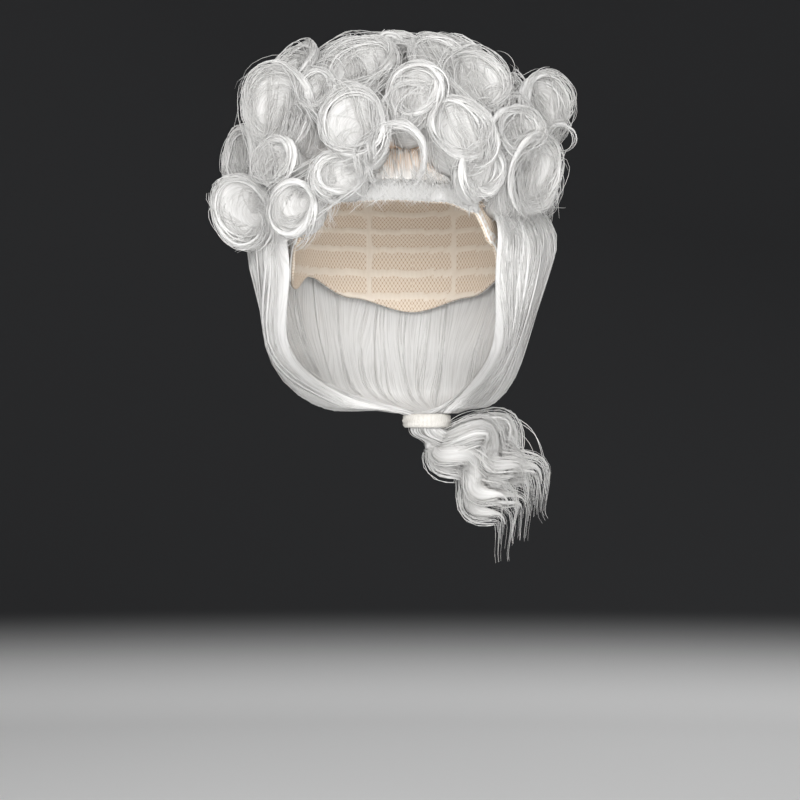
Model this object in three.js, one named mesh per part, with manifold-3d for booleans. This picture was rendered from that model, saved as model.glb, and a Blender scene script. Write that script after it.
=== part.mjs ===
// Judge wig: white hair sewn in rows to a net cap, curled over the crown, drawn smooth over the ears
// and tied at the nape into a curled queue. Millimetres, +Z up, the face opening towards -Y.
// The origin is the inside of the cap's top, where the crown of the head bears on it.
// Azimuths run from the brow towards the wearer's left (+X), elevations up from the widest level.
import * as THREE from "three";
import { LoftGeometry } from "three/addons/geometries/LoftGeometry.js";
import { mergeVertices } from "three/addons/utils/BufferGeometryUtils.js";
import Module from "manifold-3d";

const wasm = await Module();
wasm.setup();

// Driving sizes
const HEAD = { halfBreadth: 76, halfLength: 96, crownHeight: 96, lowerHeight: 130 };
const GAP = 0.35; // kept between neighbouring pieces
const CAP = { wall: 1.6, columns: 26, rows: 5, topElevation: 84, seam: 31 };
const BAND = { wall: 1.0, width: 8 };
const WEFTS = { rows: 4, seat: 0.9, crown: 22, hairline: 5, lap: 2.4, topElevation: 85 };
const FRINGE = { halfSpan: 50, overhang: 3, root: 3, body: 6.5, end: 2.5, columns: 10, rows: 4 };
const TAB = { azimuth: 55, height: -69, width: 6, length: 10, thickness: 1.2 };
const TIED = {
  front: 58, sideEnd: 128, lap: 1, parting: 0.6, earLevel: -8, thickness: 12, frontThickness: 5,
  rows: 10, columns: 8,
};
const NAPE = {
  x: -5, halfBreadth: 78, halfLength: 84, middle: 18, front: 65, sideHeight: -166, backHeight: -164,
};
const GATHER = { x: -4, halfBreadth: 57, halfLength: 34, front: 48, height: -200 };
const TIE = {
  x: 12, y: 78, top: -214, hairRadius: 16, hairWall: 7, width: 10, boreRadius: 13, wall: 5, sides: 8,
};
const CURL = { thickness: 15, rootShare: 0.3, sides: 5, steps: 8 };
const QUEUE = {
  locks: 7, breadth: 24, thickness: 16, helix: 8, turns: 2.4, spread: 21, uneven: 0.07, steps: 10, sides: 5,
};

// By azimuth: the cap's rim, the line where the rows of wefts end and the tied hair is sewn on, and how
// far the tied hair stands off the head above ear level
const EDGES = [
  { azimuth: 0, rim: -71, sewn: -59, bulge: 8 },
  { azimuth: 30, rim: -72, sewn: -60, bulge: 8 },
  { azimuth: 48, rim: -78, sewn: -63, bulge: 8 },
  { azimuth: 60, rim: -98, sewn: -64, bulge: 9 },
  { azimuth: 75, rim: -122, sewn: -62, bulge: 14 },
  { azimuth: 95, rim: -126, sewn: -58, bulge: 18 },
  { azimuth: 115, rim: -116, sewn: -52, bulge: 16 },
  { azimuth: 145, rim: -130, sewn: -44, bulge: 12 },
  { azimuth: 180, rim: -140, sewn: -40, bulge: 10 },
];

// Curls seen from the front: the middle of the curl's mouth, the azimuth and elevation it faces, its
// radius, the clock angle where the lock ends, its turns (clockwise from the front) and its breadth
const FRONT_CURLS = [
  { x: 19, y: -96, z: 0, faces: 3, raised: 25, radius: 21, ends: 200, turns: 1.35, breadth: 21 },
  { x: -21, y: -103, z: -20, faces: -8, raised: 28, radius: 26, ends: 120, turns: 1.2, breadth: 22 },
  { x: 50, y: -96, z: -25, faces: 15, raised: 18, radius: 23, ends: 110, turns: 1.2, breadth: 21 },
  { x: -76, y: -66, z: -6, faces: -25, raised: 10, radius: 30, ends: 200, turns: -1.25, breadth: 22 },
  { x: 94, y: -52, z: -49, faces: 50, raised: -5, radius: 28, ends: 190, turns: 1.25, breadth: 24 },
  { x: 55, y: -70, z: 9, faces: 40, raised: 25, radius: 29, ends: 150, turns: 1.2, breadth: 22 },
  { x: -20, y: -66, z: 23, faces: -10, raised: 40, radius: 26, ends: 110, turns: 1.2, breadth: 23 },
  { x: 29, y: -57, z: 29, faces: 15, raised: 40, radius: 21, ends: 120, turns: 1.2, breadth: 22 },
  { x: -105, y: -44, z: -73, faces: -20, raised: -12, radius: 26, ends: 120, turns: -1.35, breadth: 22 },
  { x: -62, y: -90, z: -74, faces: -20, raised: -10, radius: 20, ends: 70, turns: -1.2, breadth: 20 },
  { x: 84, y: -64, z: -23, faces: 45, raised: 10, radius: 20, ends: 120, turns: 1.2, breadth: 21 },
  { x: 9, y: -107, z: -46, faces: 0, raised: 12, radius: 25, ends: 170, turns: 1.15, breadth: 17 },
  { x: -75, y: -82, z: -42, faces: -35, raised: 5, radius: 18, ends: 150, turns: 1.15, breadth: 20 },
  { x: -29, y: -106, z: -54, faces: -15, raised: 10, radius: 18, ends: 160, turns: -1.1, breadth: 19 },
  { x: 62, y: -91, z: -51, faces: 28, raised: 2, radius: 18, ends: 180, turns: 1.15, breadth: 20 },
  { x: -69, y: -30, z: 24, faces: -45, raised: 40, radius: 23, ends: 120, turns: 1.2, breadth: 22 },
  { x: -4, y: -29, z: 45, faces: 5, raised: 25, radius: 14, ends: 130, turns: 1.25, breadth: 18 },
  { x: 100, y: 0, z: 1, faces: 75, raised: 22, radius: 26, ends: 140, turns: 1.2, breadth: 23 },
  { x: -108, y: -14, z: -38, faces: -75, raised: 5, radius: 23, ends: 200, turns: -1.2, breadth: 22 },
  { x: -48, y: -80, z: 3, faces: -25, raised: 30, radius: 17, ends: 100, turns: 1.15, breadth: 20 },
];

// Rows of curls over the top and back, on the rounded mass that the front curls also keep to
const MASS = { x: 97, y: 112, z: 92, middle: new THREE.Vector3(0, 5, -55), power: 2.5 };
const BACK_ROWS = [
  { elevation: 84, first: 180, last: 180, count: 1, radius: 25, breadth: 24 },
  { elevation: 60, first: 66, last: 290, count: 6, radius: 26, breadth: 25 },
  { elevation: 32, first: 104, last: 256, count: 5, radius: 28, breadth: 25 },
  { elevation: 6, first: 98, last: 262, count: 6, radius: 26, breadth: 23 },
];

// Middle line of the queue, from below the tie out and down behind the wearer's left shoulder
const QUEUE_LINE = [
  { x: 0, y: 0, z: -7 },
  { x: 22, y: 12, z: -9 },
  { x: 46, y: 20, z: -24 },
  { x: 60, y: 18, z: -47 },
  { x: 74, y: 14, z: -73 },
];

// Colours of the hair, the net and the elastic
const HAIR = { color: 0xe9e9eb, roughness: 0.35, metalness: 0 };
const NET = { color: 0xcdb08c, roughness: 0.85, metalness: 0 };
const ELASTIC = { color: 0xf0efec, roughness: 0.8, metalness: 0 };

const UP = new THREE.Vector3(0, 0, 1);
const { degToRad, lerp, radToDeg, smoothstep } = THREE.MathUtils;
const count = (length, make) => Array.from({ length }, (_, index) => make(index));

// Unit vector towards an azimuth and elevation
function direction(azimuth, elevation) {
  const level = Math.cos(degToRad(elevation));
  return new THREE.Vector3(
    level * Math.sin(degToRad(azimuth)),
    -level * Math.cos(degToRad(azimuth)),
    Math.sin(degToRad(elevation)),
  );
}

// Point of the head form, grown outwards by an offset
function headPoint(azimuth, elevation, offset) {
  const height = elevation < 0 ? HEAD.lowerHeight : HEAD.crownHeight;
  const axes = new THREE.Vector3(HEAD.halfBreadth, HEAD.halfLength, height).addScalar(offset);
  return direction(azimuth, elevation).multiply(axes).addScaledVector(UP, -HEAD.crownHeight);
}

// Elevation at which the head form has a height
function elevationAt(height) {
  const rise = height + HEAD.crownHeight;
  return radToDeg(Math.asin(rise / (rise < 0 ? HEAD.lowerHeight : HEAD.crownHeight)));
}

// Point of the grown head form that lies under a point outside it
function ontoHead(point, offset) {
  const axes = new THREE.Vector3(HEAD.halfBreadth, HEAD.halfLength, HEAD.crownHeight);
  const unit = point.clone().addScaledVector(UP, HEAD.crownHeight).divide(axes).normalize();
  return unit.multiply(axes.addScalar(offset)).addScaledVector(UP, -HEAD.crownHeight);
}

// Azimuth between -180 and 180
const wrap = (azimuth) => THREE.MathUtils.euclideanModulo(azimuth + 180, 360) - 180;

// Column of the edge table at an azimuth, eased between its rows
function edgeAt(column, azimuth) {
  const turn = Math.abs(wrap(azimuth));
  const next = Math.max(1, EDGES.findIndex((row) => row.azimuth >= turn));
  const [from, to] = [EDGES[next - 1], EDGES[next]];
  return lerp(from[column], to[column], smoothstep(turn, from.azimuth, to.azimuth));
}

// Solid of a geometry whose shared points are merged and whose empty triangles are dropped
function solidFrom(geometry) {
  const bare = new THREE.BufferGeometry();
  bare.setAttribute("position", geometry.getAttribute("position"));
  bare.setIndex(geometry.index ?? count(geometry.getAttribute("position").count, (at) => at));
  const merged = mergeVertices(bare, 1e-3);
  const corners = merged.index.array;
  const triangles = [];
  for (let at = 0; at < corners.length; at += 3) {
    const [a, b, c] = corners.subarray(at, at + 3);
    if (a !== b && b !== c && c !== a) triangles.push([a, b, c]);
  }
  const vertProperties = Float32Array.from(merged.attributes.position.array);
  const build = (list) => {
    const triVerts = Uint32Array.from(list.flat());
    return new wasm.Manifold(new wasm.Mesh({ numProp: 3, vertProperties, triVerts }));
  };
  const solid = build(triangles);
  return solid.volume() > 0 ? solid : build(triangles.map(([a, b, c]) => [a, c, b]));
}

// Solid lofted through rings of points, closed at both ends over the middle of the end ring
function loftSolid(rings) {
  const closing = (ring) => {
    const sum = ring.reduce((total, point) => total.add(point), new THREE.Vector3());
    return ring.map(() => sum.clone().divideScalar(ring.length));
  };
  return solidFrom(new LoftGeometry([closing(rings[0]), ...rings, closing(rings.at(-1))]));
}

// Named mesh of a solid
function meshFrom(name, solid, finish) {
  const { vertProperties, triVerts } = solid.getMesh();
  const geometry = new THREE.BufferGeometry();
  geometry.setAttribute("position", new THREE.BufferAttribute(vertProperties, 3));
  geometry.setIndex(new THREE.BufferAttribute(triVerts, 1));
  geometry.computeVertexNormals();
  const mesh = new THREE.Mesh(geometry, new THREE.MeshStandardMaterial(finish));
  mesh.name = name;
  return mesh;
}

// Largest body of a solid once its neighbours are cut away
function largestBody(solid) {
  return solid.decompose().reduce((best, body) => (body.volume() > best.volume() ? body : best));
}

// Ring round the head at a level given by a function of azimuth
function headRing(levelAt, offset) {
  return count(CAP.columns, (column) => {
    const azimuth = (column / CAP.columns) * 360 - 180;
    return headPoint(azimuth, levelAt(azimuth), offset);
  });
}

const rimLevel = (azimuth) => elevationAt(edgeAt("rim", azimuth));
const bandLevel = (azimuth) => elevationAt(edgeAt("rim", azimuth) + BAND.width);
const between = (top, levelAt, share) => (azimuth) => lerp(top, levelAt(azimuth), share);

// Net cap: one wall over the crown, from the brow round the ears to the nape
function capSolid(grow) {
  const levels = count(CAP.rows + 1, (row) => between(CAP.topElevation, bandLevel, row / CAP.rows));
  levels.push(rimLevel);
  const inside = levels.map((level) => headRing(level, -grow));
  const outside = levels.map((level) => headRing(level, CAP.wall + grow)).reverse();
  return loftSolid([...inside, ...outside]);
}

// Panels of the net cap: a middle one from the brow over the crown to the nape, and one over each ear
function capPanels() {
  const cap = capSolid(0);
  const [inner, outer] = [CAP.seam - GAP / 2, CAP.seam + GAP / 2];
  return {
    cap_middle: cap.trimByPlane([1, 0, 0], -inner).trimByPlane([-1, 0, 0], -inner),
    cap_left: cap.trimByPlane([1, 0, 0], outer),
    cap_right: cap.trimByPlane([-1, 0, 0], outer),
  };
}

// Elastic edging round the rim, outside the cap's wall
function bandSolid(grow) {
  const [inner, outer] = [CAP.wall + GAP - grow, CAP.wall + GAP + BAND.wall + grow];
  const lower = (azimuth) => elevationAt(edgeAt("rim", azimuth) - grow);
  const upper = (azimuth) => elevationAt(edgeAt("rim", azimuth) + BAND.width + grow);
  const inside = [headRing(lower, inner), headRing(upper, inner)];
  const outside = [headRing(upper, outer), headRing(lower, outer)];
  return solidFrom(new LoftGeometry([...inside, ...outside, inside[0]]));
}

// Sewn rows of short hair over the cap, each row thickest at its lower edge where it laps the next
function weftSolid(grow) {
  const inner = CAP.wall + WEFTS.seat - grow;
  const edge = (azimuth) => elevationAt(edgeAt("sewn", azimuth) - grow);
  const level = (share) => between(WEFTS.topElevation, edge, share);
  const inside = count(CAP.rows + 1, (row) => headRing(level(row / CAP.rows), inner));
  const outside = count(WEFTS.rows, (row) => {
    const thick = lerp(WEFTS.crown, WEFTS.hairline, (row + 1) / WEFTS.rows) + 2 * grow;
    return [
      headRing(level(row / WEFTS.rows), inner + thick - WEFTS.lap),
      headRing(level((row + 0.98) / WEFTS.rows), inner + thick),
    ];
  }).flat();
  return loftSolid([...inside, ...outside.reverse()]);
}

// Sheet of hair between two azimuths: an inner and an outer face, closed to a line at both side edges.
// Grown by the gap it also reaches past those edges, by the parting that it keeps from the next sheet.
function sheetSolid({ faces, from, to, columns, rows }, grow) {
  const azimuths = count(columns + 1, (column) => lerp(from, to, column / columns));
  if (grow > 0) azimuths.splice(0, columns + 1, from - TIED.parting, ...azimuths, to + TIED.parting);
  const loops = azimuths.map((azimuth) => {
    const pairs = count(rows + 1, (row) => faces(azimuth, row / rows, grow));
    return [...pairs.map((pair) => pair[0]), ...pairs.map((pair) => pair[1]).reverse()];
  });
  const middle = (loop) => loop.map((point, at) => point.clone().lerp(loop[loop.length - 1 - at], 0.5));
  return solidFrom(new LoftGeometry([middle(loops[0]), ...loops, middle(loops.at(-1))]));
}

// Inner and outer face of the fringe, from its sewn line to just past the rim
function fringeFaces(azimuth, share, grow) {
  const inner = CAP.wall + BAND.wall + 3 * GAP;
  const top = edgeAt("sewn", azimuth) - 2 * GAP + grow;
  const level = elevationAt(lerp(top, edgeAt("rim", azimuth) - FRINGE.overhang, share));
  const hump = Math.sin(Math.PI * share);
  const wall = lerp(FRINGE.root, FRINGE.end, share) + (FRINGE.body - FRINGE.root) * hump;
  return [headPoint(azimuth, level, inner - grow), headPoint(azimuth, level, inner + wall + grow)];
}

// Flow line of the tied hair: from its sewn line out over ear level, in under it and back to the tie
function flowPoint(azimuth, share, grow) {
  const side = Math.sign(wrap(azimuth));
  const turn = (Math.abs(wrap(azimuth)) - TIED.front) / (180 - TIED.front);
  const napeTurn = degToRad(lerp(NAPE.front, 180, turn));
  const gatherTurn = degToRad(lerp(GATHER.front, 180, turn));
  const root = elevationAt(edgeAt("sewn", azimuth) - 4 * GAP + grow);
  const seat = CAP.wall + BAND.wall + 3 * GAP;
  const bulge = edgeAt("bulge", azimuth);
  const line = new THREE.CatmullRomCurve3([
    headPoint(azimuth, root, seat),
    headPoint(azimuth, (root + TIED.earLevel) / 2, bulge),
    headPoint(azimuth, TIED.earLevel, 0.9 * bulge),
    new THREE.Vector3(
      NAPE.x + side * NAPE.halfBreadth * Math.sin(napeTurn),
      NAPE.middle - NAPE.halfLength * Math.cos(napeTurn),
      lerp(NAPE.sideHeight, NAPE.backHeight, turn),
    ),
    new THREE.Vector3(
      GATHER.x + side * GATHER.halfBreadth * Math.sin(gatherTurn),
      TIE.y - GATHER.halfLength * Math.cos(gatherTurn),
      GATHER.height,
    ),
    new THREE.Vector3(
      TIE.x + side * TIE.hairRadius * Math.sin(gatherTurn),
      TIE.y - TIE.hairRadius * Math.cos(gatherTurn),
      TIE.top,
    ),
  ]);
  return line.getPoint(share);
}

// Inner and outer face of the tied hair, its thickness along the sheet's own normal
function tiedFaces(azimuth, share, grow) {
  const step = 1e-3;
  const point = flowPoint(azimuth, share, grow);
  const across = flowPoint(azimuth + step, share, grow).sub(flowPoint(azimuth - step, share, grow));
  const near = Math.min(share, 1 - step);
  const along = flowPoint(azimuth, near + step, grow).sub(flowPoint(azimuth, near, grow));
  const level = new THREE.Vector3(point.x - TIE.x, point.y - TIE.y, 0).normalize();
  const normal = along.cross(across).normalize().lerp(level, smoothstep(share, 0.75, 1)).normalize();
  const ahead = smoothstep(Math.abs(wrap(azimuth)), TIED.front, TIED.front + 16);
  const body = lerp(TIED.frontThickness, TIED.thickness, ahead);
  const swell = lerp(0.3, 1, smoothstep(share, 0, 0.3));
  const wall = lerp(body * swell, TIE.hairWall, smoothstep(share, 0.6, 1));
  return [
    point.clone().addScaledVector(normal, -grow),
    point.clone().addScaledVector(normal, wall + grow),
  ];
}

// Lock of hair: flat rounded sections carried along a path, thinner at the root and the tip.
// outwardAt gives the way that the lock's flat side faces.
function lockSolid({ centreAt, outwardAt, breadth, thickness, steps, sides }, grow) {
  const step = 0.01;
  const sections = count(steps + 1, (at) => {
    const share = at / steps;
    const along = centreAt(Math.min(share + step, 1)).sub(centreAt(Math.max(share - step, 0))).normalize();
    const outward = outwardAt(share);
    const thick = outward.addScaledVector(along, -outward.dot(along)).normalize();
    const wide = along.clone().cross(thick);
    const fullness = lerp(0.6, 1, smoothstep(share, 0, 0.3)) * lerp(1, 0.55, smoothstep(share, 0.75, 1));
    return count(sides, (side) => {
      const turn = (side / sides) * 2 * Math.PI;
      return centreAt(share)
        .addScaledVector(wide, Math.cos(turn) * ((breadth / 2) * fullness + grow))
        .addScaledVector(thick, Math.sin(turn) * ((thickness / 2) * fullness + grow));
    });
  });
  return loftSolid(sections);
}

// Curl: a lock wound in a widening ring from its root on the cap out to the curl's mouth
function curlSolid(curl, grow) {
  const mouth = new THREE.Vector3(curl.x, curl.y, curl.z);
  const root = ontoHead(mouth, CAP.wall + WEFTS.hairline);
  const axis = direction(curl.faces, curl.raised);
  const upright = UP.clone().addScaledVector(axis, -UP.dot(axis)).normalize();
  const sideways = upright.clone().cross(axis);
  const reach = curl.radius - CURL.thickness / 2;
  const outwardAt = (share) => {
    const clock = degToRad(curl.ends - 360 * curl.turns * (1 - share));
    return upright.clone().multiplyScalar(Math.cos(clock)).addScaledVector(sideways, Math.sin(clock));
  };
  const centreAt = (share) => {
    const ring = reach * lerp(CURL.rootShare, 1, share ** 0.35);
    return root.clone().lerp(mouth, share ** 0.8).addScaledVector(outwardAt(share), ring);
  };
  return lockSolid({ ...CURL, breadth: curl.breadth, centreAt, outwardAt }, grow);
}

// Curls of one row over the top or back, facing straight out of the mass of hair
function backCurls(row) {
  return count(row.count, (index) => {
    const azimuth = lerp(row.first, row.last, row.count > 1 ? index / (row.count - 1) : 0);
    const outward = direction(azimuth, row.elevation);
    const size = new THREE.Vector3(MASS.x, MASS.y, MASS.z);
    const scaled = outward.clone().divide(size).toArray();
    const reach = scaled.reduce((sum, part) => sum + Math.abs(part) ** MASS.power, 0) ** (-1 / MASS.power);
    const mouth = outward.multiplyScalar(reach).add(MASS.middle);
    const hand = index % 2 === 0 ? 1 : -1;
    return {
      x: mouth.x,
      y: mouth.y,
      z: mouth.z,
      faces: azimuth,
      raised: Math.min(row.elevation, 55),
      radius: row.radius,
      ends: 150 * hand,
      turns: 1.2 * hand,
      breadth: row.breadth,
    };
  });
}

// Tie: a round band on the gathered hair
function tieSolid(grow) {
  const middle = TIE.boreRadius + TIE.wall / 2;
  const half = TIE.width / 2;
  const profile = count(TIE.sides + 1, (at) => {
    const turn = (at / TIE.sides) * 2 * Math.PI;
    return new THREE.Vector2(
      middle + (TIE.wall / 2 + grow) * Math.cos(turn),
      (half + grow) * Math.sin(turn),
    );
  });
  const ring = new THREE.LatheGeometry(profile, 14);
  ring.rotateX(Math.PI / 2);
  ring.translate(TIE.x, TIE.y, TIE.top - GAP - half);
  return solidFrom(ring);
}

// Queue: locks in loose corkscrews side by side, fused to the gathered stem that passes through the tie
function queueSolid() {
  const stemTop = TIE.top + 6;
  const stemEnd = TIE.top - TIE.width - 4;
  const stemRadius = TIE.boreRadius - 2 * GAP;
  const stemProfile = [
    new THREE.Vector2(0, stemTop),
    new THREE.Vector2(stemRadius * 0.7, stemTop),
    new THREE.Vector2(stemRadius, stemTop - 4),
    new THREE.Vector2(stemRadius, stemEnd),
    new THREE.Vector2(stemRadius * 1.2, stemEnd - 10),
    new THREE.Vector2(0, stemEnd - 26),
  ];
  const stem = new THREE.LatheGeometry(stemProfile, 12);
  stem.rotateX(Math.PI / 2);
  stem.translate(TIE.x, TIE.y, 0);
  const [top, end] = [QUEUE_LINE[0], QUEUE_LINE.at(-1)];
  const line = new THREE.CatmullRomCurve3(
    QUEUE_LINE.map(({ x, y, z }) => new THREE.Vector3(TIE.x + x, TIE.y + y, stemEnd + z)),
  );
  const across = new THREE.Vector3(top.z - end.z, 0, end.x - top.x).normalize();
  const behind = new THREE.Vector3(0, 1, 0);
  let queue = solidFrom(stem);
  count(QUEUE.locks, (lock) => {
    const place = (lock / (QUEUE.locks - 1)) * 2 * Math.PI;
    const spread = lock === 0 ? 0 : QUEUE.spread;
    const length = 1 - QUEUE.uneven * (lock % 3);
    const outwardAt = (share) => {
      const clock = place + QUEUE.turns * 2 * Math.PI * share;
      return across.clone().multiplyScalar(Math.cos(clock)).addScaledVector(behind, Math.sin(clock));
    };
    const centreAt = (share) => {
      const open = smoothstep(share, 0, 0.4);
      const centre = line.getPoint(share * length);
      centre.addScaledVector(across, Math.cos(place) * spread * open);
      centre.addScaledVector(behind, Math.sin(place) * spread * open);
      return centre.addScaledVector(outwardAt(share), QUEUE.helix * open);
    };
    queue = queue.add(lockSolid({ ...QUEUE, centreAt, outwardAt }, 0));
  });
  return queue;
}

// Tab of tape at the temple, flat against the cap
function tabSolid(grow) {
  const shape = new THREE.Shape();
  const half = TAB.width / 2 + grow;
  const end = TAB.length / 2 - TAB.width / 2;
  shape.moveTo(-half, TAB.length / 2 + grow);
  shape.lineTo(-half, -end);
  shape.absarc(0, -end, half, Math.PI, 2 * Math.PI, false);
  shape.lineTo(half, TAB.length / 2 + grow);
  const depth = TAB.thickness + grow;
  const geometry = new THREE.ExtrudeGeometry(shape, { depth, bevelEnabled: false, curveSegments: 5 });
  const level = elevationAt(TAB.height);
  const seat = headPoint(TAB.azimuth, level, CAP.wall + 2 * GAP);
  const outward = headPoint(TAB.azimuth, level, CAP.wall + 10).sub(seat).normalize();
  const east = UP.clone().cross(outward).normalize();
  const place = new THREE.Matrix4().makeBasis(east, outward.clone().cross(east), outward);
  return solidFrom(geometry.applyMatrix4(place.setPosition(seat)));
}

const wig = new THREE.Group();
for (const [name, panel] of Object.entries(capPanels())) wig.add(meshFrom(name, panel, NET));
wig.add(meshFrom("edge_band", bandSolid(0), ELASTIC));
wig.add(meshFrom("temple_tab", tabSolid(0), NET));
wig.add(meshFrom("wefts", weftSolid(0), HAIR));

// Sheets of hair in order, each cut back from the pieces placed before it
const { front, sideEnd, lap } = TIED;
const SHEETS = [
  { name: "fringe", faces: fringeFaces, from: -FRINGE.halfSpan, to: FRINGE.halfSpan, ...FRINGE },
  { name: "side_hair_right", faces: tiedFaces, from: -sideEnd, to: -front, ...TIED },
  { name: "side_hair_left", faces: tiedFaces, from: front, to: sideEnd, ...TIED },
  { name: "back_hair", faces: tiedFaces, from: sideEnd - lap, to: 360 - sideEnd + lap, ...TIED },
];
let occupied = capSolid(GAP).add(bandSolid(GAP)).add(weftSolid(GAP)).add(tabSolid(GAP));
for (const piece of SHEETS) {
  wig.add(meshFrom(piece.name, largestBody(sheetSolid(piece, 0).subtract(occupied)), HAIR));
  occupied = occupied.add(sheetSolid(piece, GAP));
}

// Curls in order, each cut back from the pieces placed before it
const curls = [...FRONT_CURLS, ...BACK_ROWS.flatMap(backCurls)];
curls.forEach((curl, index) => {
  const name = `curl_${String(index + 1).padStart(2, "0")}`;
  wig.add(meshFrom(name, largestBody(curlSolid(curl, 0).subtract(occupied)), HAIR));
  occupied = occupied.add(curlSolid(curl, GAP));
});

wig.add(meshFrom("tie_band", tieSolid(0), ELASTIC));
occupied = occupied.add(tieSolid(GAP));
wig.add(meshFrom("queue", largestBody(queueSolid().subtract(occupied)), HAIR));

export default wig;
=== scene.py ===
"""Judge wig: white curled hair on a net cap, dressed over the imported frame.

Metres, +Z up, the face opening towards -Y, +X towards the wearer's left. Azimuths run in degrees from
the brow towards +X, elevations in degrees up from the head's widest level. Tables are in millimetres and
repeat the part's own sizes, so each piece lies where its solid lies.
"""
import logging
import math
from dataclasses import dataclass, field
from enum import Enum
from typing import Any, Callable, Optional, Sequence, Union

import bpy
import numpy as np
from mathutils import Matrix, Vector


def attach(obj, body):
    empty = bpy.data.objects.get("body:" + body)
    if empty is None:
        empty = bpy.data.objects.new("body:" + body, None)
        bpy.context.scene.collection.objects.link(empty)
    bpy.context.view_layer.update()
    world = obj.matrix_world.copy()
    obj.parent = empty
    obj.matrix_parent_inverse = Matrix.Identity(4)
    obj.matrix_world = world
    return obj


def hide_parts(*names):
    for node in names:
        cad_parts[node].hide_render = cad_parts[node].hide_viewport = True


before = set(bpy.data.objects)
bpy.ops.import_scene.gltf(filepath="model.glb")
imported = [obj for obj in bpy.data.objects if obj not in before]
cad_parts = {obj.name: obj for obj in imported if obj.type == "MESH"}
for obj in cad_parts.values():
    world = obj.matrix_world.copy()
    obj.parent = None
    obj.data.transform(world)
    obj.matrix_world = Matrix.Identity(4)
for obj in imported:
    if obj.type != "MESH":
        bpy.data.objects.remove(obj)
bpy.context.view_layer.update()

Array = np.ndarray
Rng = np.random.Generator
Material = bpy.types.Material
Pair = tuple[float, float]
Triple = tuple[float, float, float]
Colour = tuple[float, float, float, float]
Spread = Union[Array, float]
MM = 0.001
LOG = logging.getLogger("judge_wig")


def smooth(value: Array, low: float, high: float) -> Array:
    """Ease from 0 at low to 1 at high, with level ends."""
    share = np.clip((np.asarray(value, float) - low) / (high - low), 0.0, 1.0)
    return share * share * (3.0 - 2.0 * share)


def mix(start: Array, end: Array, share: Array) -> Array:
    """Straight blend from start to end."""
    return start + (end - start) * share


def unit(vectors: Array) -> Array:
    """Vectors scaled to length one."""
    return vectors / np.maximum(np.linalg.norm(vectors, axis=-1, keepdims=True), 1e-12)


def stages(count: int) -> Array:
    """Even places from 0 to 1 along a path, shape (1, count)."""
    return np.linspace(0, 1, count)[None, :]


def spindle(step: Array) -> Array:
    """Breadth along a flat lock: thin at both ends and full between them."""
    return 0.06 + 0.94 * np.sin(math.pi * step) ** 0.7


def humps(strip: Array) -> Array:
    """Rounded locks side by side: the upper half of an ellipse from each whole number to the next."""
    return np.sqrt(np.maximum(0.0, 1 - (2 * (strip % 1.0) - 1) ** 2 * 0.96))


def spline(controls: Array, share: Array) -> Array:
    """Points of a centripetal Catmull-Rom curve.

    Each span is a cubic through its two ends, whose slopes come from the neighbouring points weighted
    by the square roots of their distances. The curve runs straight on past both end points.

    Args:
        controls: Control points, shape (m, 3), or (m, ..., 3) with a polygon for each element.
        share: Place along the curve from 0 to 1, shape (...).

    Returns:
        Points of shape (..., 3).
    """
    shape = controls.shape[:1] + (1,) * (share.ndim + 2 - controls.ndim) + controls.shape[1:]
    controls = np.broadcast_to(controls.reshape(shape), shape[:1] + share.shape + (3,))
    path = np.concatenate([2 * controls[:1] - controls[1:2], controls, 2 * controls[-1:] - controls[-2:-1]])
    spans = len(controls) - 1
    place = np.clip(share * spans, 0.0, spans - 1e-9)
    span = place.astype(int)
    weight = (place - span)[..., None]

    def pick(step: int) -> Array:
        """Control point a few steps along from the span's start."""
        return np.take_along_axis(path, (span + step)[None, ..., None], axis=0)[0]

    before, start, end, after = (pick(step) for step in range(4))
    gaps = [np.sqrt(np.linalg.norm(b - a, axis=-1, keepdims=True)) for a, b in
            ((before, start), (start, end), (end, after))]
    lead = (start - before) / gaps[0] - (end - before) / (gaps[0] + gaps[1]) + (end - start) / gaps[1]
    trail = (end - start) / gaps[1] - (after - start) / (gaps[1] + gaps[2]) + (after - end) / gaps[2]
    lead, trail = lead * gaps[1], trail * gaps[1]
    square = 3 * (end - start) - 2 * lead - trail
    cube = 2 * (start - end) + lead + trail
    return start + lead * weight + square * weight**2 + cube * weight**3


class Ends(Enum):
    """How the first and last ring of a skin are closed."""

    POLE = "over the middle of the ring"
    ZIP = "across a flat loop, side to side"
    LOOP = "onto each other"


@dataclass
class Patch:
    """Closed triangle skins with a fibre map in metres and a tone for each point."""

    points: Array
    triangles: Array
    fibre: Array
    tone: Array

    @staticmethod
    def joined(patches: Sequence["Patch"]) -> "Patch":
        """One patch of several, their points numbered on.

        Args:
            patches: The patches in order.

        Returns:
            The joined patch.
        """
        starts = np.cumsum([0] + [len(patch.points) for patch in patches[:-1]])
        return Patch(
            np.concatenate([patch.points for patch in patches]),
            np.concatenate([patch.triangles + start for patch, start in zip(patches, starts)]),
            np.concatenate([patch.fibre for patch in patches]),
            np.concatenate([patch.tone for patch in patches]),
        )


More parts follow.
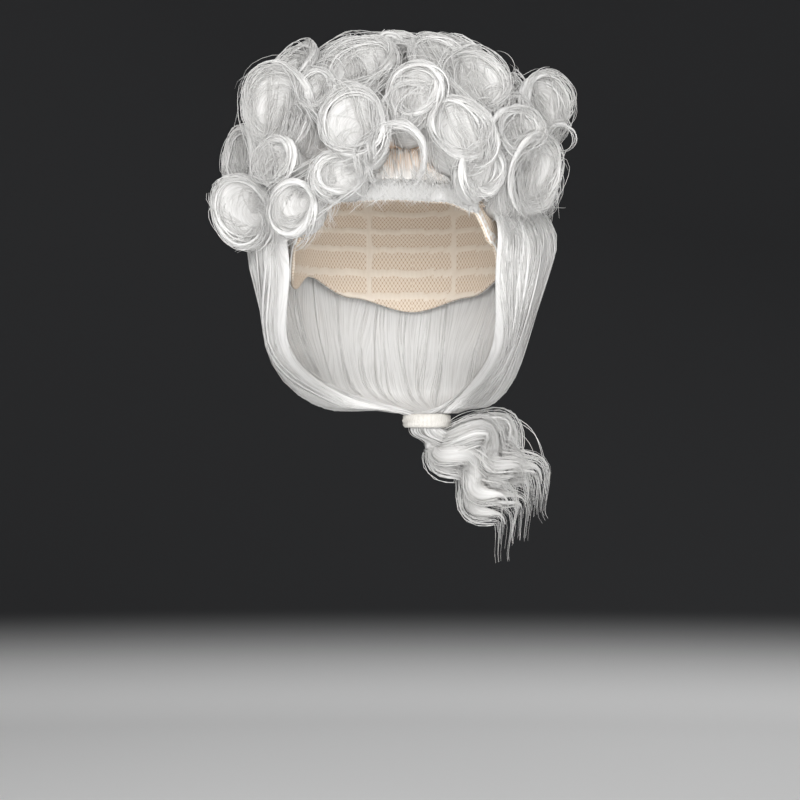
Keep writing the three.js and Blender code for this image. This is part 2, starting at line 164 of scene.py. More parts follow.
def skin(rings: Array, across: Spread, along: Spread, tone: Spread, ends: Ends) -> Patch:
    """Closed skins over rings of points.

    Neighbouring rings are joined by two triangles to each side of the ring. The end rings are closed
    over their middle, zipped across or joined to each other, and all faces are turned outwards by the
    sign of the enclosed volume.

    Args:
        rings: Points, shape (skins, rings, sides, 3).
        across: Fibre map round the ring, broadcast to (skins, rings, sides + 1).
        along: Fibre map along the rings, broadcast to the same shape.
        tone: Tone, broadcast to (skins, rings, sides).
        ends: How the end rings are closed.

    Returns:
        The patch.
    """
    skins, count, sides, _ = rings.shape
    shape = (skins, count, sides + 1)
    fibre = np.stack([np.broadcast_to(across, shape), np.broadcast_to(along, shape)], axis=-1)
    points = rings.reshape(-1, 3)
    grid = np.broadcast_to(tone, (skins, count, sides))
    tones = grid.reshape(-1)
    index = np.arange(skins * count * sides).reshape(skins, count, sides)
    rows = np.arange(count if ends is Ends.LOOP else count - 1)
    below, above = index[:, rows], index[:, (rows + 1) % count]
    low, high = fibre[:, rows], fibre[:, (rows + 1) % count]
    corners = [below, np.roll(below, -1, 2), np.roll(above, -1, 2), above]
    maps = [low[:, :, :-1], low[:, :, 1:], high[:, :, 1:], high[:, :, :-1]]

    def half(order: Sequence[int]) -> tuple[Array, Array]:
        """Triangles over three of the four corners, with their fibre maps."""
        faces = np.stack([corners[at] for at in order], axis=-1).reshape(-1, 3)
        return faces, np.stack([maps[at] for at in order], axis=-2).reshape(-1, 3, 2)

    parts = [half((0, 1, 2)), half((0, 2, 3))]
    if ends is Ends.POLE:
        poles = np.concatenate([rings[:, 0].mean(1), rings[:, -1].mean(1)])
        first = len(points) + np.arange(skins)
        points = np.concatenate([points, poles])
        tones = np.concatenate([tones, grid[:, 0].mean(1), grid[:, -1].mean(1)])
        for row, pole, turn in ((0, first, -1), (count - 1, first + skins, 1)):
            ring = index[:, row]
            apex = np.broadcast_to(pole[:, None], ring.shape)
            fan = np.stack([apex, ring, np.roll(ring, -1, 1)], axis=-1)
            left, right = fibre[:, row, :-1], fibre[:, row, 1:]
            spread = np.stack([(left + right) / 2, left, right], axis=-2)
            parts.append((fan.reshape(-1, 3)[:, ::turn], spread.reshape(-1, 3, 2)[:, ::turn]))
    if ends is Ends.ZIP:
        wide = sides // 2
        for row, turn in ((0, -1), (count - 1, 1)):
            one, two = index[:, row, :wide], index[:, row, ::-1][:, :wide]
            place = fibre[:, row, :wide]
            for order in ((one[:, :-1], one[:, 1:], two[:, 1:]), (one[:, :-1], two[:, 1:], two[:, :-1])):
                faces = np.stack(order, axis=-1).reshape(-1, 3)
                spread = np.repeat(place[:, :-1].reshape(-1, 1, 2), 3, axis=1)
                parts.append((faces[:, ::turn], spread[:, ::turn]))
    triangles = np.concatenate([part[0] for part in parts])
    spread = np.concatenate([part[1] for part in parts])
    a, b, c = (points[triangles[:, at]] for at in range(3))
    if np.einsum("ij,ij->", a, np.cross(b, c)) < 0:
        triangles, spread = triangles[:, ::-1], spread[:, ::-1]
    return Patch(points, triangles, spread, tones)


def crosswise(centre: Array, outward: Array) -> tuple[Array, Array]:
    """Ways across paths: one square to the path and to outward, and the part of outward square to the path.

    Args:
        centre: Paths, shape (locks, steps, 3).
        outward: Way that the flat side faces, the same shape.

    Returns:
        The wide and the thin way, unit vectors.
    """
    along = unit(np.gradient(centre, axis=1))
    thick = unit(outward - along * np.sum(outward * along, axis=-1, keepdims=True))
    return np.cross(along, thick), thick


def locks(
    centre: Array, outward: Array, half_wide: Array, half_thick: Array, sides: int, tone: Array,
    rng: Rng,
) -> Patch:
    """Flat rounded locks or hairs: an ellipse carried crosswise along each path and closed at both tips.

    Args:
        centre: Paths, shape (locks, steps, 3).
        outward: Way that the flat side faces, the same shape.
        half_wide: Half breadth in metres, broadcast to (locks, steps).
        half_thick: Half thickness in metres, broadcast to (locks, steps).
        sides: Sides of the ellipse.
        tone: Tone of each lock, shape (locks,).
        rng: Source of the fibre map's start for each lock.

    Returns:
        The patch.
    """
    count, steps, _ = centre.shape
    wide, thick = crosswise(centre, outward)
    turn = 2 * math.pi * (np.arange(sides) - 0.25 * sides) / sides
    shape = (count, steps)
    reach_wide = np.broadcast_to(half_wide, shape)[..., None, None]
    reach_thick = np.broadcast_to(half_thick, shape)[..., None, None]
    rings = (
        centre[:, :, None]
        + wide[:, :, None] * reach_wide * np.cos(turn)[:, None]
        + thick[:, :, None] * reach_thick * np.sin(turn)[:, None]
    )
    girth = 3.2 * (np.broadcast_to(half_wide, shape).mean(1) + np.broadcast_to(half_thick, shape).mean(1))
    start = rng.uniform(0.0, 1.0, (2, count, 1, 1))
    across = girth[:, None, None] * np.linspace(0, 1, sides + 1) + start[0]
    length = np.linalg.norm(np.diff(centre, axis=1), axis=-1).cumsum(1)
    length = np.concatenate([np.zeros((count, 1)), length], axis=1)
    return skin(rings, across, length[..., None] + start[1], tone[:, None, None], Ends.POLE)


def hairs(centre: Array, outward: Array, half: Array, tone: Array, rng: Rng) -> Patch:
    """Single hairs: three-sided tubes that thin towards both tips.

    Args:
        centre: Paths, shape (hairs, steps, 3).
        outward: Ways that aren't along the paths, the same shape.
        half: Half thickness of each hair in metres, shape (hairs, 1).
        tone: Tone of each hair, shape (hairs,).
        rng: Source of the fibre map's start for each hair.

    Returns:
        The patch.
    """
    step = stages(centre.shape[1])
    taper = mix(0.5, 1.0, smooth(step, 0, 0.12)) * mix(1.0, 0.3, smooth(step, 0.65, 1.0))
    return locks(centre, outward, half * taper, half * taper, 3, tone, rng)


class Clumps:
    """Hairs gathered in clumps: each hair takes its clump's draw and strays a little from it."""

    def __init__(self, count: int, clumps: int, rng: Rng) -> None:
        """Give each hair a clump.

        Args:
            count: How many hairs.
            clumps: How many clumps.
            rng: Source of unevenness.
        """
        self.count = count
        self.clumps = clumps
        self.rng = rng
        self.home = rng.integers(0, clumps, count)

    def draw(self, low: float, high: float, stray: float = 0.0) -> Array:
        """Values of shape (hairs, 1): each clump's, even from low to high, and the hair's stray from it."""
        clump = self.rng.uniform(low, high, self.clumps)[self.home]
        return (clump + self.rng.normal(0, stray, self.count))[:, None]

    def free(self, low: float, high: float) -> Array:
        """Values of shape (hairs, 1), even from low to high with no regard to clumps."""
        return self.rng.uniform(low, high, (self.count, 1))

    def wave(self, step: Array, size: float) -> Array:
        """Small wave along each hair, one to three beats long, shape (hairs, steps)."""
        return size * np.sin(self.free(1.0, 3.0) * 2 * math.pi * step + self.free(0, 2 * math.pi))

    def tone(self, middle: float) -> Array:
        """Tones about a middle, part the clump's and part the hair's own, shape (hairs,)."""
        return np.clip(middle + self.draw(-0.2, 0.2, 0.16)[:, 0], 0, 1)

    def hairs(self, centre: Array, outward: Array, half: Pair, tone: float) -> Patch:
        """Single hairs along these paths: their half thickness in mm from low to high, their middle tone."""
        return hairs(centre, outward, self.free(*half) * MM, self.tone(tone), self.rng)

    def satin(
        self, centre: Array, outward: Array, taper: Array, wide: Pair, thick: Pair, tone: float
    ) -> Patch:
        """Flat satin locks along paths.

        Args:
            centre: Paths, shape (locks, steps, 3).
            outward: Way that the flat side faces.
            taper: Size along the locks.
            wide: Least and greatest half breadth in mm.
            thick: Least and greatest half thickness in mm.
            tone: Middle tone.

        Returns:
            The patch.
        """
        half_wide, half_thick = self.free(*wide) * MM * taper, self.free(*thick) * MM * taper
        return locks(centre, outward, half_wide, half_thick, 6, self.tone(tone), self.rng)


Path = Callable[[Array], tuple[Array, Array]]


@dataclass(frozen=True)
class Bundle:
    """Lock seen close: a rounded core and hairs in clumps lying round it."""

    half_wide: float
    half_thick: float
    hairs: int
    clumps: int
    bands: int
    steps: int

    def fullness(self, share: Array) -> Array:
        """Size of the section along the lock: thinner at the root and the tip."""
        return mix(0.6, 1.0, smooth(share, 0, 0.3)) * mix(1.0, 0.42, smooth(share, 0.55, 1.0))

    def patch(self, path: Path, rng: Rng) -> Patch:
        """Core, hairs and flat satin locks.

        The core is an ellipse carried along the path. Each hair keeps an angle round that ellipse, which
        wanders along the lock with its clump, and a reach that waves a little.

        Args:
            path: Centres and outward ways of the lock at shares of its length.
            rng: Source of unevenness.

        Returns:
            The patch.
        """
        step = stages(self.steps)
        centre, outward = path(0.84 * step)
        size = 0.66 * self.fullness(0.84 * step) * mix(1.0, 0.1, smooth(step, 0.6, 1.0))
        wide, thick = self.half_wide * size, self.half_thick * size
        # The core's low tone (0.3) is painted shade deep inside the lock, between its hairs.
        core = locks(centre, outward, wide, thick, 10, np.array([0.3]), rng)
        clumps = Clumps(self.hairs, self.clumps, rng)
        share = mix(clumps.free(0, 0.1), np.clip(clumps.draw(0.62, 0.96, 0.09), 0.45, 1.0), step)
        turn = clumps.draw(0, 2 * math.pi, 0.35) + clumps.draw(-0.6, 0.6, 0.2) * step
        off = clumps.draw(0.78, 1.05, 0.1) + clumps.wave(step, 0.09)
        centre, outward = self.laid(path, share, turn, off)
        fine = clumps.hairs(centre, outward, (0.18, 0.36), 0.6)
        clumps = Clumps(self.bands, self.bands, rng)
        share = mix(clumps.free(0, 0.3), clumps.free(0.6, 0.96), step)
        turn = clumps.free(0, 2 * math.pi) + clumps.free(-0.6, 0.6) * step
        centre, outward = self.laid(path, share, turn, clumps.free(0.8, 0.95) + 0 * step)
        satin = clumps.satin(centre, outward, spindle(step), (1.2, 2.6), (0.4, 0.6), 0.7)
        return Patch.joined([core, fine, satin])

    def laid(self, path: Path, share: Array, turn: Array, off: Array) -> tuple[Array, Array]:
        """Centres and outward ways of hairs round a lock.

        Args:
            path: Centres and outward ways of the lock at shares of its length.
            share: Place of each hair's steps along the lock.
            turn: Angle round the lock's ellipse.
            off: Reach as a share of the ellipse's own.

        Returns:
            Centres and outward ways.
        """
        centre, outward = path(share)
        wide, thick = crosswise(centre, outward)
        level, rise = np.cos(turn)[..., None], np.sin(turn)[..., None]
        size = (self.fullness(share) * off)[..., None]
        centre = centre + (wide * level * self.half_wide + thick * rise * self.half_thick) * size
        return centre, unit(wide * level / self.half_wide + thick * rise / self.half_thick)


@dataclass(frozen=True)
class HeadForm:
    """Rounded form inside the cap: half an ellipsoid over the widest level and a deeper half below it."""

    half_breadth: float = 76 * MM
    half_length: float = 96 * MM
    crown: float = 96 * MM
    lower: float = 130 * MM

    def direction(self, azimuth: Array, elevation: Array) -> Array:
        """Unit vectors towards azimuths and elevations.

        Args:
            azimuth: Azimuths.
            elevation: Elevations.

        Returns:
            Vectors of shape (..., 3).
        """
        turn, rise = np.radians(azimuth), np.radians(elevation)
        level = np.cos(rise)
        parts = np.broadcast_arrays(level * np.sin(turn), -level * np.cos(turn), np.sin(rise))
        return np.stack(parts, axis=-1)

    def point(self, azimuth: Array, elevation: Array, offset: Array) -> Array:
        """Points of the form grown outwards by an offset.

        Args:
            azimuth: Azimuths.
            elevation: Elevations.
            offset: Growth in metres.

        Returns:
            Points of shape (..., 3).
        """
        ways = self.direction(azimuth, elevation)
        height = np.where(np.asarray(elevation) < 0, self.lower, self.crown)
        sizes = np.broadcast_arrays(self.half_breadth + offset, self.half_length + offset, height + offset)
        axes = np.stack([np.broadcast_to(size, ways.shape[:-1]) for size in sizes], axis=-1)
        return ways * axes - np.array([0, 0, self.crown])

    def elevation_at(self, height: Array) -> Array:
        """Elevations at which the form has a height."""
        rise = height + self.crown
        return np.degrees(np.arcsin(np.clip(rise / np.where(rise < 0, self.lower, self.crown), -1, 1)))

    def under(self, point: Array, offset: float) -> Array:
        """Point of the grown form that lies under a point outside it.

        Args:
            point: The point outside.
            offset: Growth in metres.

        Returns:
            The point on the form.
        """
        axes = np.array([self.half_breadth, self.half_length, self.crown])
        middle = np.array([0, 0, -self.crown])
        return unit((point - middle) / axes) * (axes + offset) + middle


HEAD = HeadForm()


@dataclass(frozen=True)
class EdgeRow:
    """Heights of the cap's rim and the sewn line at an azimuth, and how far the tied hair stands off."""

    azimuth: float
    rim: float
    sewn: float
    bulge: float


EDGE_ROWS = (
    EdgeRow(0, -71, -59, 8),
    EdgeRow(30, -72, -60, 8),
    EdgeRow(48, -78, -63, 8),
    EdgeRow(60, -98, -64, 9),
    EdgeRow(75, -122, -62, 14),
    EdgeRow(95, -126, -58, 18),
    EdgeRow(115, -116, -52, 16),
    EdgeRow(145, -130, -44, 12),
    EdgeRow(180, -140, -40, 10),
)


def folded(azimuth: Array) -> Array:
    """Azimuths as turns of 0 to 180 degrees from the brow."""
    return np.abs((np.asarray(azimuth, float) + 180.0) % 360.0 - 180.0)


def edge_at(column: str, azimuth: Array) -> Array:
    """Column of the edge table in metres, eased between its rows.

    Args:
        column: Name of the column.
        azimuth: Azimuths.

    Returns:
        Values in metres.
    """
    turns = np.array([row.azimuth for row in EDGE_ROWS])
    values = np.array([getattr(row, column) for row in EDGE_ROWS]) * MM
    turn = folded(azimuth)
    upper = np.clip(np.searchsorted(turns, turn), 1, len(turns) - 1)
    share = (turn - turns[upper - 1]) / (turns[upper] - turns[upper - 1])
    return mix(values[upper - 1], values[upper], share * share * (3 - 2 * share))


@dataclass(frozen=True)
class Layers:
    """Thicknesses that the pieces share, from the head outwards."""

    gap: float = 0.35 * MM
    cap_wall: float = 1.6 * MM
    band_wall: float = 1.0 * MM
    band_width: float = 8 * MM
    weft_seat: float = 0.9 * MM
    weft_crown: float = 22 * MM
    weft_hairline: float = 5 * MM


LAYERS = Layers()
TIE: Triple = (12 * MM, 78 * MM, -214 * MM)


class Value:
    """Shader socket that takes part in arithmetic: each operator adds a Math node."""

    def __init__(self, graph: "Graph", socket: bpy.types.NodeSocket) -> None:
        """Keep the graph and the socket."""
        self.graph = graph
        self.socket = socket

    def _math(self, operation: str, first: Any, second: Any) -> "Value":
        """Value of a Math node over two values or numbers."""
        return self.graph.value("ShaderNodeMath", {"operation": operation}, {0: first, 1: second})

    def __add__(self, other: Any) -> "Value":
        """Sum."""
        return self._math("ADD", self, other)

    __radd__ = __add__

    def __sub__(self, other: Any) -> "Value":
        """Difference."""
        return self._math("SUBTRACT", self, other)

    def __rsub__(self, other: Any) -> "Value":
        """Difference from a number."""
        return self._math("SUBTRACT", other, self)

    def __mul__(self, other: Any) -> "Value":
        """Product."""
        return self._math("MULTIPLY", self, other)

    __rmul__ = __mul__

    def wave(self) -> "Value":
        """Sine."""
        return self._math("SINE", self, 0.0)

    def size(self) -> "Value":
        """Absolute value."""
        return self._math("ABSOLUTE", self, 0.0)

    def eased(self, low: float, high: float) -> "Value":
        """Ease from 0 at low to 1 at high."""
        inputs = {"Value": self, "From Min": low, "From Max": high}
        return self.graph.value("ShaderNodeMapRange", {"interpolation_type": "SMOOTHSTEP"}, inputs)


class Graph:
    """Node tree of one material."""

    def __init__(self, name: str) -> None:
        """Start an empty material.

        Args:
            name: Name of the material.
        """
        self.material = bpy.data.materials.new(name)
        self.material.use_nodes = True
        self.tree = self.material.node_tree
        self.tree.nodes.clear()

    def node(
        self, kind: str, settings: Optional[dict] = None, inputs: Optional[dict] = None
    ) -> bpy.types.Node:
        """Node with its settings, then the values or links of its sockets.

        Args:
            kind: Blender's node type.
            settings: Node properties by name.
            inputs: Numbers, colours, Values or sockets by socket name or number.

        Returns:
            The node.
        """
        node = self.tree.nodes.new(kind)
        for name, setting in (settings or {}).items():
            setattr(node, name, setting)
        for key, value in (inputs or {}).items():
            source = value.socket if isinstance(value, Value) else value
            if isinstance(source, bpy.types.NodeSocket):
                self.tree.links.new(source, node.inputs[key])
            else:
                node.inputs[key].default_value = source
        return node

    def value(
        self, kind: str, settings: Optional[dict] = None, inputs: Optional[dict] = None,
        output: Union[int, str] = 0,
    ) -> Value:
        """One output of a node as a Value."""
        return Value(self, self.node(kind, settings, inputs).outputs[output])

    def split(self, place: Value) -> list[Value]:
        """The three parts of a vector."""
        parts = self.node("ShaderNodeSeparateXYZ", inputs={0: place})
        return [Value(self, part) for part in parts.outputs]

    def fibre(self) -> list[Value]:
        """The piece's fibre map in metres: across the fibres and along them."""
        return self.split(self.value("ShaderNodeUVMap", {"uv_map": "fibre"}))[:2]

    def place(self) -> list[Value]:
        """Object coordinates in metres: their three parts."""
        return self.split(self.value("ShaderNodeTexCoord", output="Object"))

    def tone(self) -> Value:
        """The piece's tone."""
        return self.value("ShaderNodeAttribute", {"attribute_name": "tone"}, output="Fac")

    def noise(self, across: Any, along: Any, layer: Any = 0.0, detail: float = 2.0) -> Value:
        """Noise from 0 to 1 at a place given by three values."""
        place = self.value("ShaderNodeCombineXYZ", inputs={0: across, 1: along, 2: layer})
        return self.value("ShaderNodeTexNoise", inputs={"Vector": place, "Scale": 1.0, "Detail": detail})

    def blend(self, share: Value, first: Any, second: Any) -> Value:
        """Colour between two colours."""
        inputs = {0: share, 6: first, 7: second}
        return self.value("ShaderNodeMix", {"data_type": "RGBA"}, inputs, output=2)

    def bump(self, height: Value, strength: float, distance: float) -> Value:
        """Normal raised by a height."""
        inputs = {"Height": height, "Strength": strength, "Distance": distance}
        return self.value("ShaderNodeBump", inputs=inputs)

    def surface(
        self, colour: Value, roughness: Any, normal: Optional[Value] = None, gleam: float = 0.5
    ) -> bpy.types.Node:
        """Smooth or woven surface.

        Args:
            colour: Its colour.
            roughness: Its roughness.
            normal: Its raised normal, if it has one.
            gleam: Strength of its reflection.

        Returns:
            The shader.
        """
        inputs = {"Base Color": colour, "Roughness": roughness, "Specular IOR Level": gleam}
        if normal is not None:
            inputs["Normal"] = normal
        return self.node("ShaderNodeBsdfPrincipled", inputs=inputs)

    def finish(self, shader: bpy.types.Node) -> Material:
        """Material whose surface is the shader."""
        self.node("ShaderNodeOutputMaterial", inputs={"Surface": shader.outputs[0]})
        return self.material


@dataclass(frozen=True)
class HairFinish:
    """Fine glossy white fibre: streaks along the lock in colour, gloss and height."""

    light: Colour = (0.88, 0.875, 0.865, 1)
    shade: Colour = (0.66, 0.65, 0.635, 1)
    fine: float = 2600.0
    broad: float = 760.0
    drawn: float = 34.0
    roughness: float = 0.4
    relief: float = 0.5
    through: float = 0.4
    gleam: float = 0.36

    def material(self) -> Material:
        """Material of hair.

        Returns:
            The material.
        """
        graph = Graph("white_hair")
        across, along = graph.fibre()
        tone = graph.tone()
        fine = graph.noise(across * self.fine, along * self.drawn * 2, tone * 9.0, 1.0)
        broad = graph.noise(across * self.broad, along * self.drawn, tone * 5.0)
        streak = fine * 0.45 + broad * 0.55
        # The darker colour streaks are partly the fibres' own tone and partly painted shade between fibres.
        lightness = (streak.eased(0.28, 0.66) * 0.6 + tone * 0.4).eased(0.05, 0.85)
        colour = graph.blend(lightness, self.shade, self.light)
        normal = graph.bump(streak, self.relief, 0.5 * MM)
        gloss = graph.surface(colour, self.roughness + 0.22 * (1 - streak), normal, self.gleam)
        glow = graph.node("ShaderNodeBsdfTranslucent", inputs={"Color": colour, "Normal": normal})
        shares = {0: self.through, 1: gloss.outputs[0], 2: glow.outputs[0]}
        return graph.finish(graph.node("ShaderNodeMixShader", inputs=shares))


@dataclass(frozen=True)
class WeftFinish:
    """Short hair sewn in rows: fibre over the tan net, which peeps between the roots of each row."""

    # The weft hair is painted greyer than the crown's hair: painted shade where the wefts lie between the
    # curls. The shade colour's streaks are painted shade between strands.
    hair: Colour = (0.64, 0.62, 0.595, 1)
    shade: Colour = (0.48, 0.45, 0.42, 1)
    net: Colour = (0.55, 0.40, 0.29, 1)
    roughness: float = 0.42

    def material(self) -> Material:
        """Material of the wefts: the tone runs from 0 at a row's seam to 1 at its lower edge.

        Returns:
            The material.
        """
        graph = Graph("sewn_hair")
        across, along = graph.fibre()
        row = graph.tone()
        strands = graph.noise(across * 1500.0, along * 24.0, 0.0, 1.0)
        patches = graph.noise(across * 55.0, along * 60.0, 3.0, 2.0)
        streak = strands.eased(0.44, 0.56)
        roots = (1 - row.eased(0.4, 0.98)) * patches.eased(0.3, 0.5)
        seam = 1 - row.eased(0.02, 0.12)
        bare = ((1 - streak) * roots + seam * 0.8).eased(0.0, 0.9)
        # Painted shade: darker streaks between strands, over a weft colour painted greyer than the crown's
        # hair.
        colour = graph.blend(bare, graph.blend(streak, self.shade, self.hair), self.net)
        normal = graph.bump(strands, 0.5, 0.5 * MM)
        return graph.finish(graph.surface(colour, self.roughness + 0.2 * bare, normal))


@dataclass(frozen=True)
class NetFinish:
    """Tan net with the white hair behind its meshes, and cream tape along the sewn rows."""

    thread: Colour = (0.46, 0.32, 0.21, 1)
    behind: Colour = (0.70, 0.61, 0.51, 1)
    tape: Colour = (0.84, 0.79, 0.71, 1)
    pitch: float = 6.4 * MM

    def material(self) -> Material:
        """Material of the net: slanting threads both ways, and stitches across the tape.

        Returns:
            The material.
        """
        graph = Graph("tan_net")
        across, along = graph.fibre()
        tape = graph.tone().eased(0.35, 0.65)
        turn = 2 * math.pi / self.pitch
        one = ((across + along) * turn).wave().size()
        two = ((across - along) * turn).wave().size()
        mesh = 1 - (one * two).eased(0.03, 0.22)
        stitch = (across * (math.pi / (1.1 * MM))).wave().size().eased(0.2, 0.8)
        mottle = graph.noise(across * 90.0, along * 90.0)
        net = graph.blend(mesh, self.behind, self.thread)
        sewn = graph.blend(stitch * 0.3 + mottle * 0.2, self.tape, self.thread)
        colour = graph.blend(tape, net, sewn)
        height = mesh * (1 - tape) + (tape * stitch) * 0.8 + mottle * 0.3
        normal = graph.bump(height, 0.6, 0.35 * MM)
        return graph.finish(graph.surface(colour, 0.74 + 0.16 * mottle, normal))


@dataclass(frozen=True)
class LaceFinish:
    """White elastic lace: corded edges, a zigzag of thread and tan between them."""

    thread: Colour = (0.80, 0.79, 0.77, 1)
    ground: Colour = (0.66, 0.55, 0.45, 1)
    pitch: float = 5.0 * MM

    def material(self) -> Material:
        """Material of the lace: the tone runs from 0 at one edge of the band to 1 at the other.

        Returns:
            The material.
        """
        graph = Graph("white_lace")
        across, along = graph.fibre()
        height = graph.tone()
        zigzag = (along * (math.pi / self.pitch)).wave().size()
        line = 1 - ((height - 0.18) - zigzag * 0.64).size().eased(0.12, 0.24)
        corded = (height - 0.5).size().eased(0.26, 0.34)
        lace = (line + corded).eased(0.2, 0.7)
        twill = graph.noise(across * 2600.0, along * 2600.0, 1.0, 1.0)
        colour = graph.blend(lace, self.ground, self.thread)
        normal = graph.bump(lace + twill * 0.35, 0.7, 0.4 * MM)
        return graph.finish(graph.surface(colour, 0.62 + 0.25 * twill, normal))


@dataclass(frozen=True)
class RibFinish:
    """Ribbed elastic, off-white, with a fine weave along the ribs."""

    light: Colour = (0.66, 0.64, 0.60, 1)
    shade: Colour = (0.36, 0.34, 0.31, 1)

    def material(self) -> Material:
        """Material of the tie.

        Returns:
            The material.
        """
        graph = Graph("ribbed_elastic")
        across, along = graph.fibre()
        ribs = (along * (math.pi / (1.0 * MM))).wave().size()
        weave = graph.noise(across * 2200.0, along * 900.0, 2.0, 1.0)
        colour = graph.blend((ribs * 0.6 + weave * 0.4).eased(0.2, 0.7), self.shade, self.light)
        normal = graph.bump(ribs + weave * 0.4, 0.6, 0.3 * MM)
        return graph.finish(graph.surface(colour, 0.62 + 0.2 * weave, normal))


@dataclass(frozen=True)
class TapeFinish:
    """Woven beige tape, its threads crossing at right angles in the tab's own plane."""

    light: Colour = (0.76, 0.66, 0.56, 1)
    shade: Colour = (0.55, 0.44, 0.34, 1)
    pitch: float = 0.55 * MM

    def material(self) -> Material:
        """Material of the tab, on Object coordinates.

        Returns:
            The material.
        """
        graph = Graph("beige_tape")
        level, _, height = graph.place()
        warp = (level * (math.pi / self.pitch)).wave().size()
        weft = (height * (math.pi / self.pitch)).wave().size()
        cloth = graph.noise(level * 700.0, height * 700.0)
        colour = graph.blend((warp * weft * 0.6 + cloth * 0.5).eased(0.1, 0.8), self.shade, self.light)
        normal = graph.bump(warp * weft, 0.5, 0.25 * MM)
        return graph.finish(graph.surface(colour, 0.7 + 0.2 * cloth, normal))


@dataclass(frozen=True)
class RoomFinish:
    """Matt sweep: a pale floor that turns into a dark wall."""

    floor: Colour = (0.84, 0.84, 0.84, 1)
    wall: Colour = (0.0125, 0.013, 0.0145, 1)
    edge: Pair = (-0.615, -0.5)
    roughness: float = 0.85

    def material(self) -> Material:
        """Material of the sweep, dark above the floor's edge.

        Returns:
            The material.
        """
        graph = Graph("matt_sweep")
        rise = graph.place()[2].eased(*self.edge)
        return graph.finish(graph.surface(graph.blend(rise, self.floor, self.wall), self.roughness))


class Slot(Enum):
    """Material slots of the record."""

    HAIR = "hair"
    NET = "net"
    ELASTIC = "elastic"


def placed(name: str, patch: Patch, material: Material) -> bpy.types.Object:
    """Object of a patch, smooth, at the origin.

    Args:
        name: Name of the object.
        patch: Its skins.
        material: Its finish.

    Returns:
        The object.
    """
    count = len(patch.triangles)
    mesh = bpy.data.meshes.new(name)
    mesh.vertices.add(len(patch.points))
    mesh.vertices.foreach_set("co", np.ascontiguousarray(patch.points, np.float32).ravel())
    mesh.loops.add(3 * count)
    mesh.loops.foreach_set("vertex_index", np.ascontiguousarray(patch.triangles, np.int32).ravel())
    mesh.polygons.add(count)
    mesh.polygons.foreach_set("loop_start", np.arange(0, 3 * count, 3, dtype=np.int32))
    mesh.update(calc_edges=True)
    mesh.polygons.foreach_set("use_smooth", np.ones(count, dtype=bool))
    layer = mesh.uv_layers.new(name="fibre")
    layer.data.foreach_set("uv", np.ascontiguousarray(patch.fibre, np.float32).ravel())
    tone = mesh.attributes.new("tone", "FLOAT", "POINT")
    tone.data.foreach_set("value", np.ascontiguousarray(patch.tone, np.float32))
    mesh.materials.append(material)
    piece = bpy.data.objects.new(name, mesh)
    bpy.context.scene.collection.objects.link(piece)
    return piece


def dressed(
    name: str, patch: Patch, material: Material, slot: Slot, nodes: Sequence[str] = ()
) -> bpy.types.Object:
    """Piece of the wig: it rides on the root body and stands for its CAD nodes.

    Args:
        name: Name of the piece.
        patch: Its skins.
        material: Its finish.
        slot: The record's slot. Not used.
        nodes: The CAD nodes that it replaces.

    Returns:
        The piece.
    """
    piece = placed(name, patch, material)
    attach(piece, "root")
    if nodes:
        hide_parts(*nodes)
    LOG.info("%s: %d triangles", name, len(patch.triangles))
    return piece


@dataclass(frozen=True)
class Curl:
    """One curl, in mm and degrees.

    The middle of its mouth, the azimuth and elevation that it faces, its radius, the clock angle where the
    lock ends, the way that it winds, 1 for clockwise, and its breadth. An open one is a bare loop.
    """

    x: float
    y: float
    z: float
    faces: float
    raised: float
    radius: float
    ends: float
    winds: int
    breadth: float
    open: bool = False

    def mouth(self) -> Array:
        """Middle of the mouth in metres."""
        return np.array([self.x, self.y, self.z]) * MM


FRONT_CURLS = (
    Curl(19, -96, 0, 3, 25, 21, 200, 1, 21),
    Curl(-21, -103, -20, -8, 28, 26, 120, 1, 22),
    Curl(50, -96, -25, 15, 18, 23, 110, 1, 21),
    Curl(-76, -66, -6, -25, 10, 30, 200, -1, 22),
    Curl(94, -52, -49, 50, -5, 28, 190, 1, 24),
    Curl(55, -70, 9, 40, 25, 29, 150, 1, 22),
    Curl(-20, -66, 21, -10, 40, 25, 110, 1, 23),
    Curl(29, -57, 26, 15, 40, 21, 120, 1, 22),
    Curl(-105, -44, -73, -20, -12, 26, 120, -1, 22),
    Curl(-62, -90, -74, -20, -10, 20, 70, -1, 20),
    Curl(84, -64, -23, 45, 10, 20, 120, 1, 21),
    Curl(9, -107, -46, 0, 12, 25, 170, 1, 17, True),
    Curl(-75, -82, -42, -35, 5, 18, 150, 1, 20),
    Curl(-29, -106, -54, -15, 10, 18, 160, -1, 19),
    Curl(62, -91, -51, 28, 2, 18, 180, 1, 20),
    Curl(-69, -30, 24, -45, 40, 23, 120, 1, 22),
    Curl(-4, -29, 37, 5, 25, 12, 130, 1, 18),
    Curl(100, -4, 1, 50, 14, 25, 140, 1, 23),
    Curl(-106, -16, -38, -50, 5, 23, 200, -1, 22),
    Curl(-48, -80, 3, -25, 30, 17, 100, 1, 20),
)


@dataclass(frozen=True)
class CurlRow:
    """Row of curls over the top and back: elevation, first and last azimuth, count, radius and breadth."""

    elevation: float
    first: float
    last: float
    count: int
    radius: float
    breadth: float


@dataclass(frozen=True)
class Mass:
    """Rounded mass that the curls keep to: half sizes, middle and the power of its rounded box."""

    half: Triple = (97 * MM, 112 * MM, 92 * MM)
    middle: Triple = (0.0, 5 * MM, -55 * MM)
    power: float = 2.5

    def point(self, azimuth: Array, elevation: Array) -> Array:
        """Points of the mass straight out from its middle.

        Args:
            azimuth: Azimuths.
            elevation: Elevations.

        Returns:
            Points of shape (..., 3).
        """
        ways = HEAD.direction(azimuth, elevation)
        scaled = np.abs(ways / np.array(self.half)) ** self.power
        return ways * scaled.sum(-1, keepdims=True) ** (-1 / self.power) + np.array(self.middle)


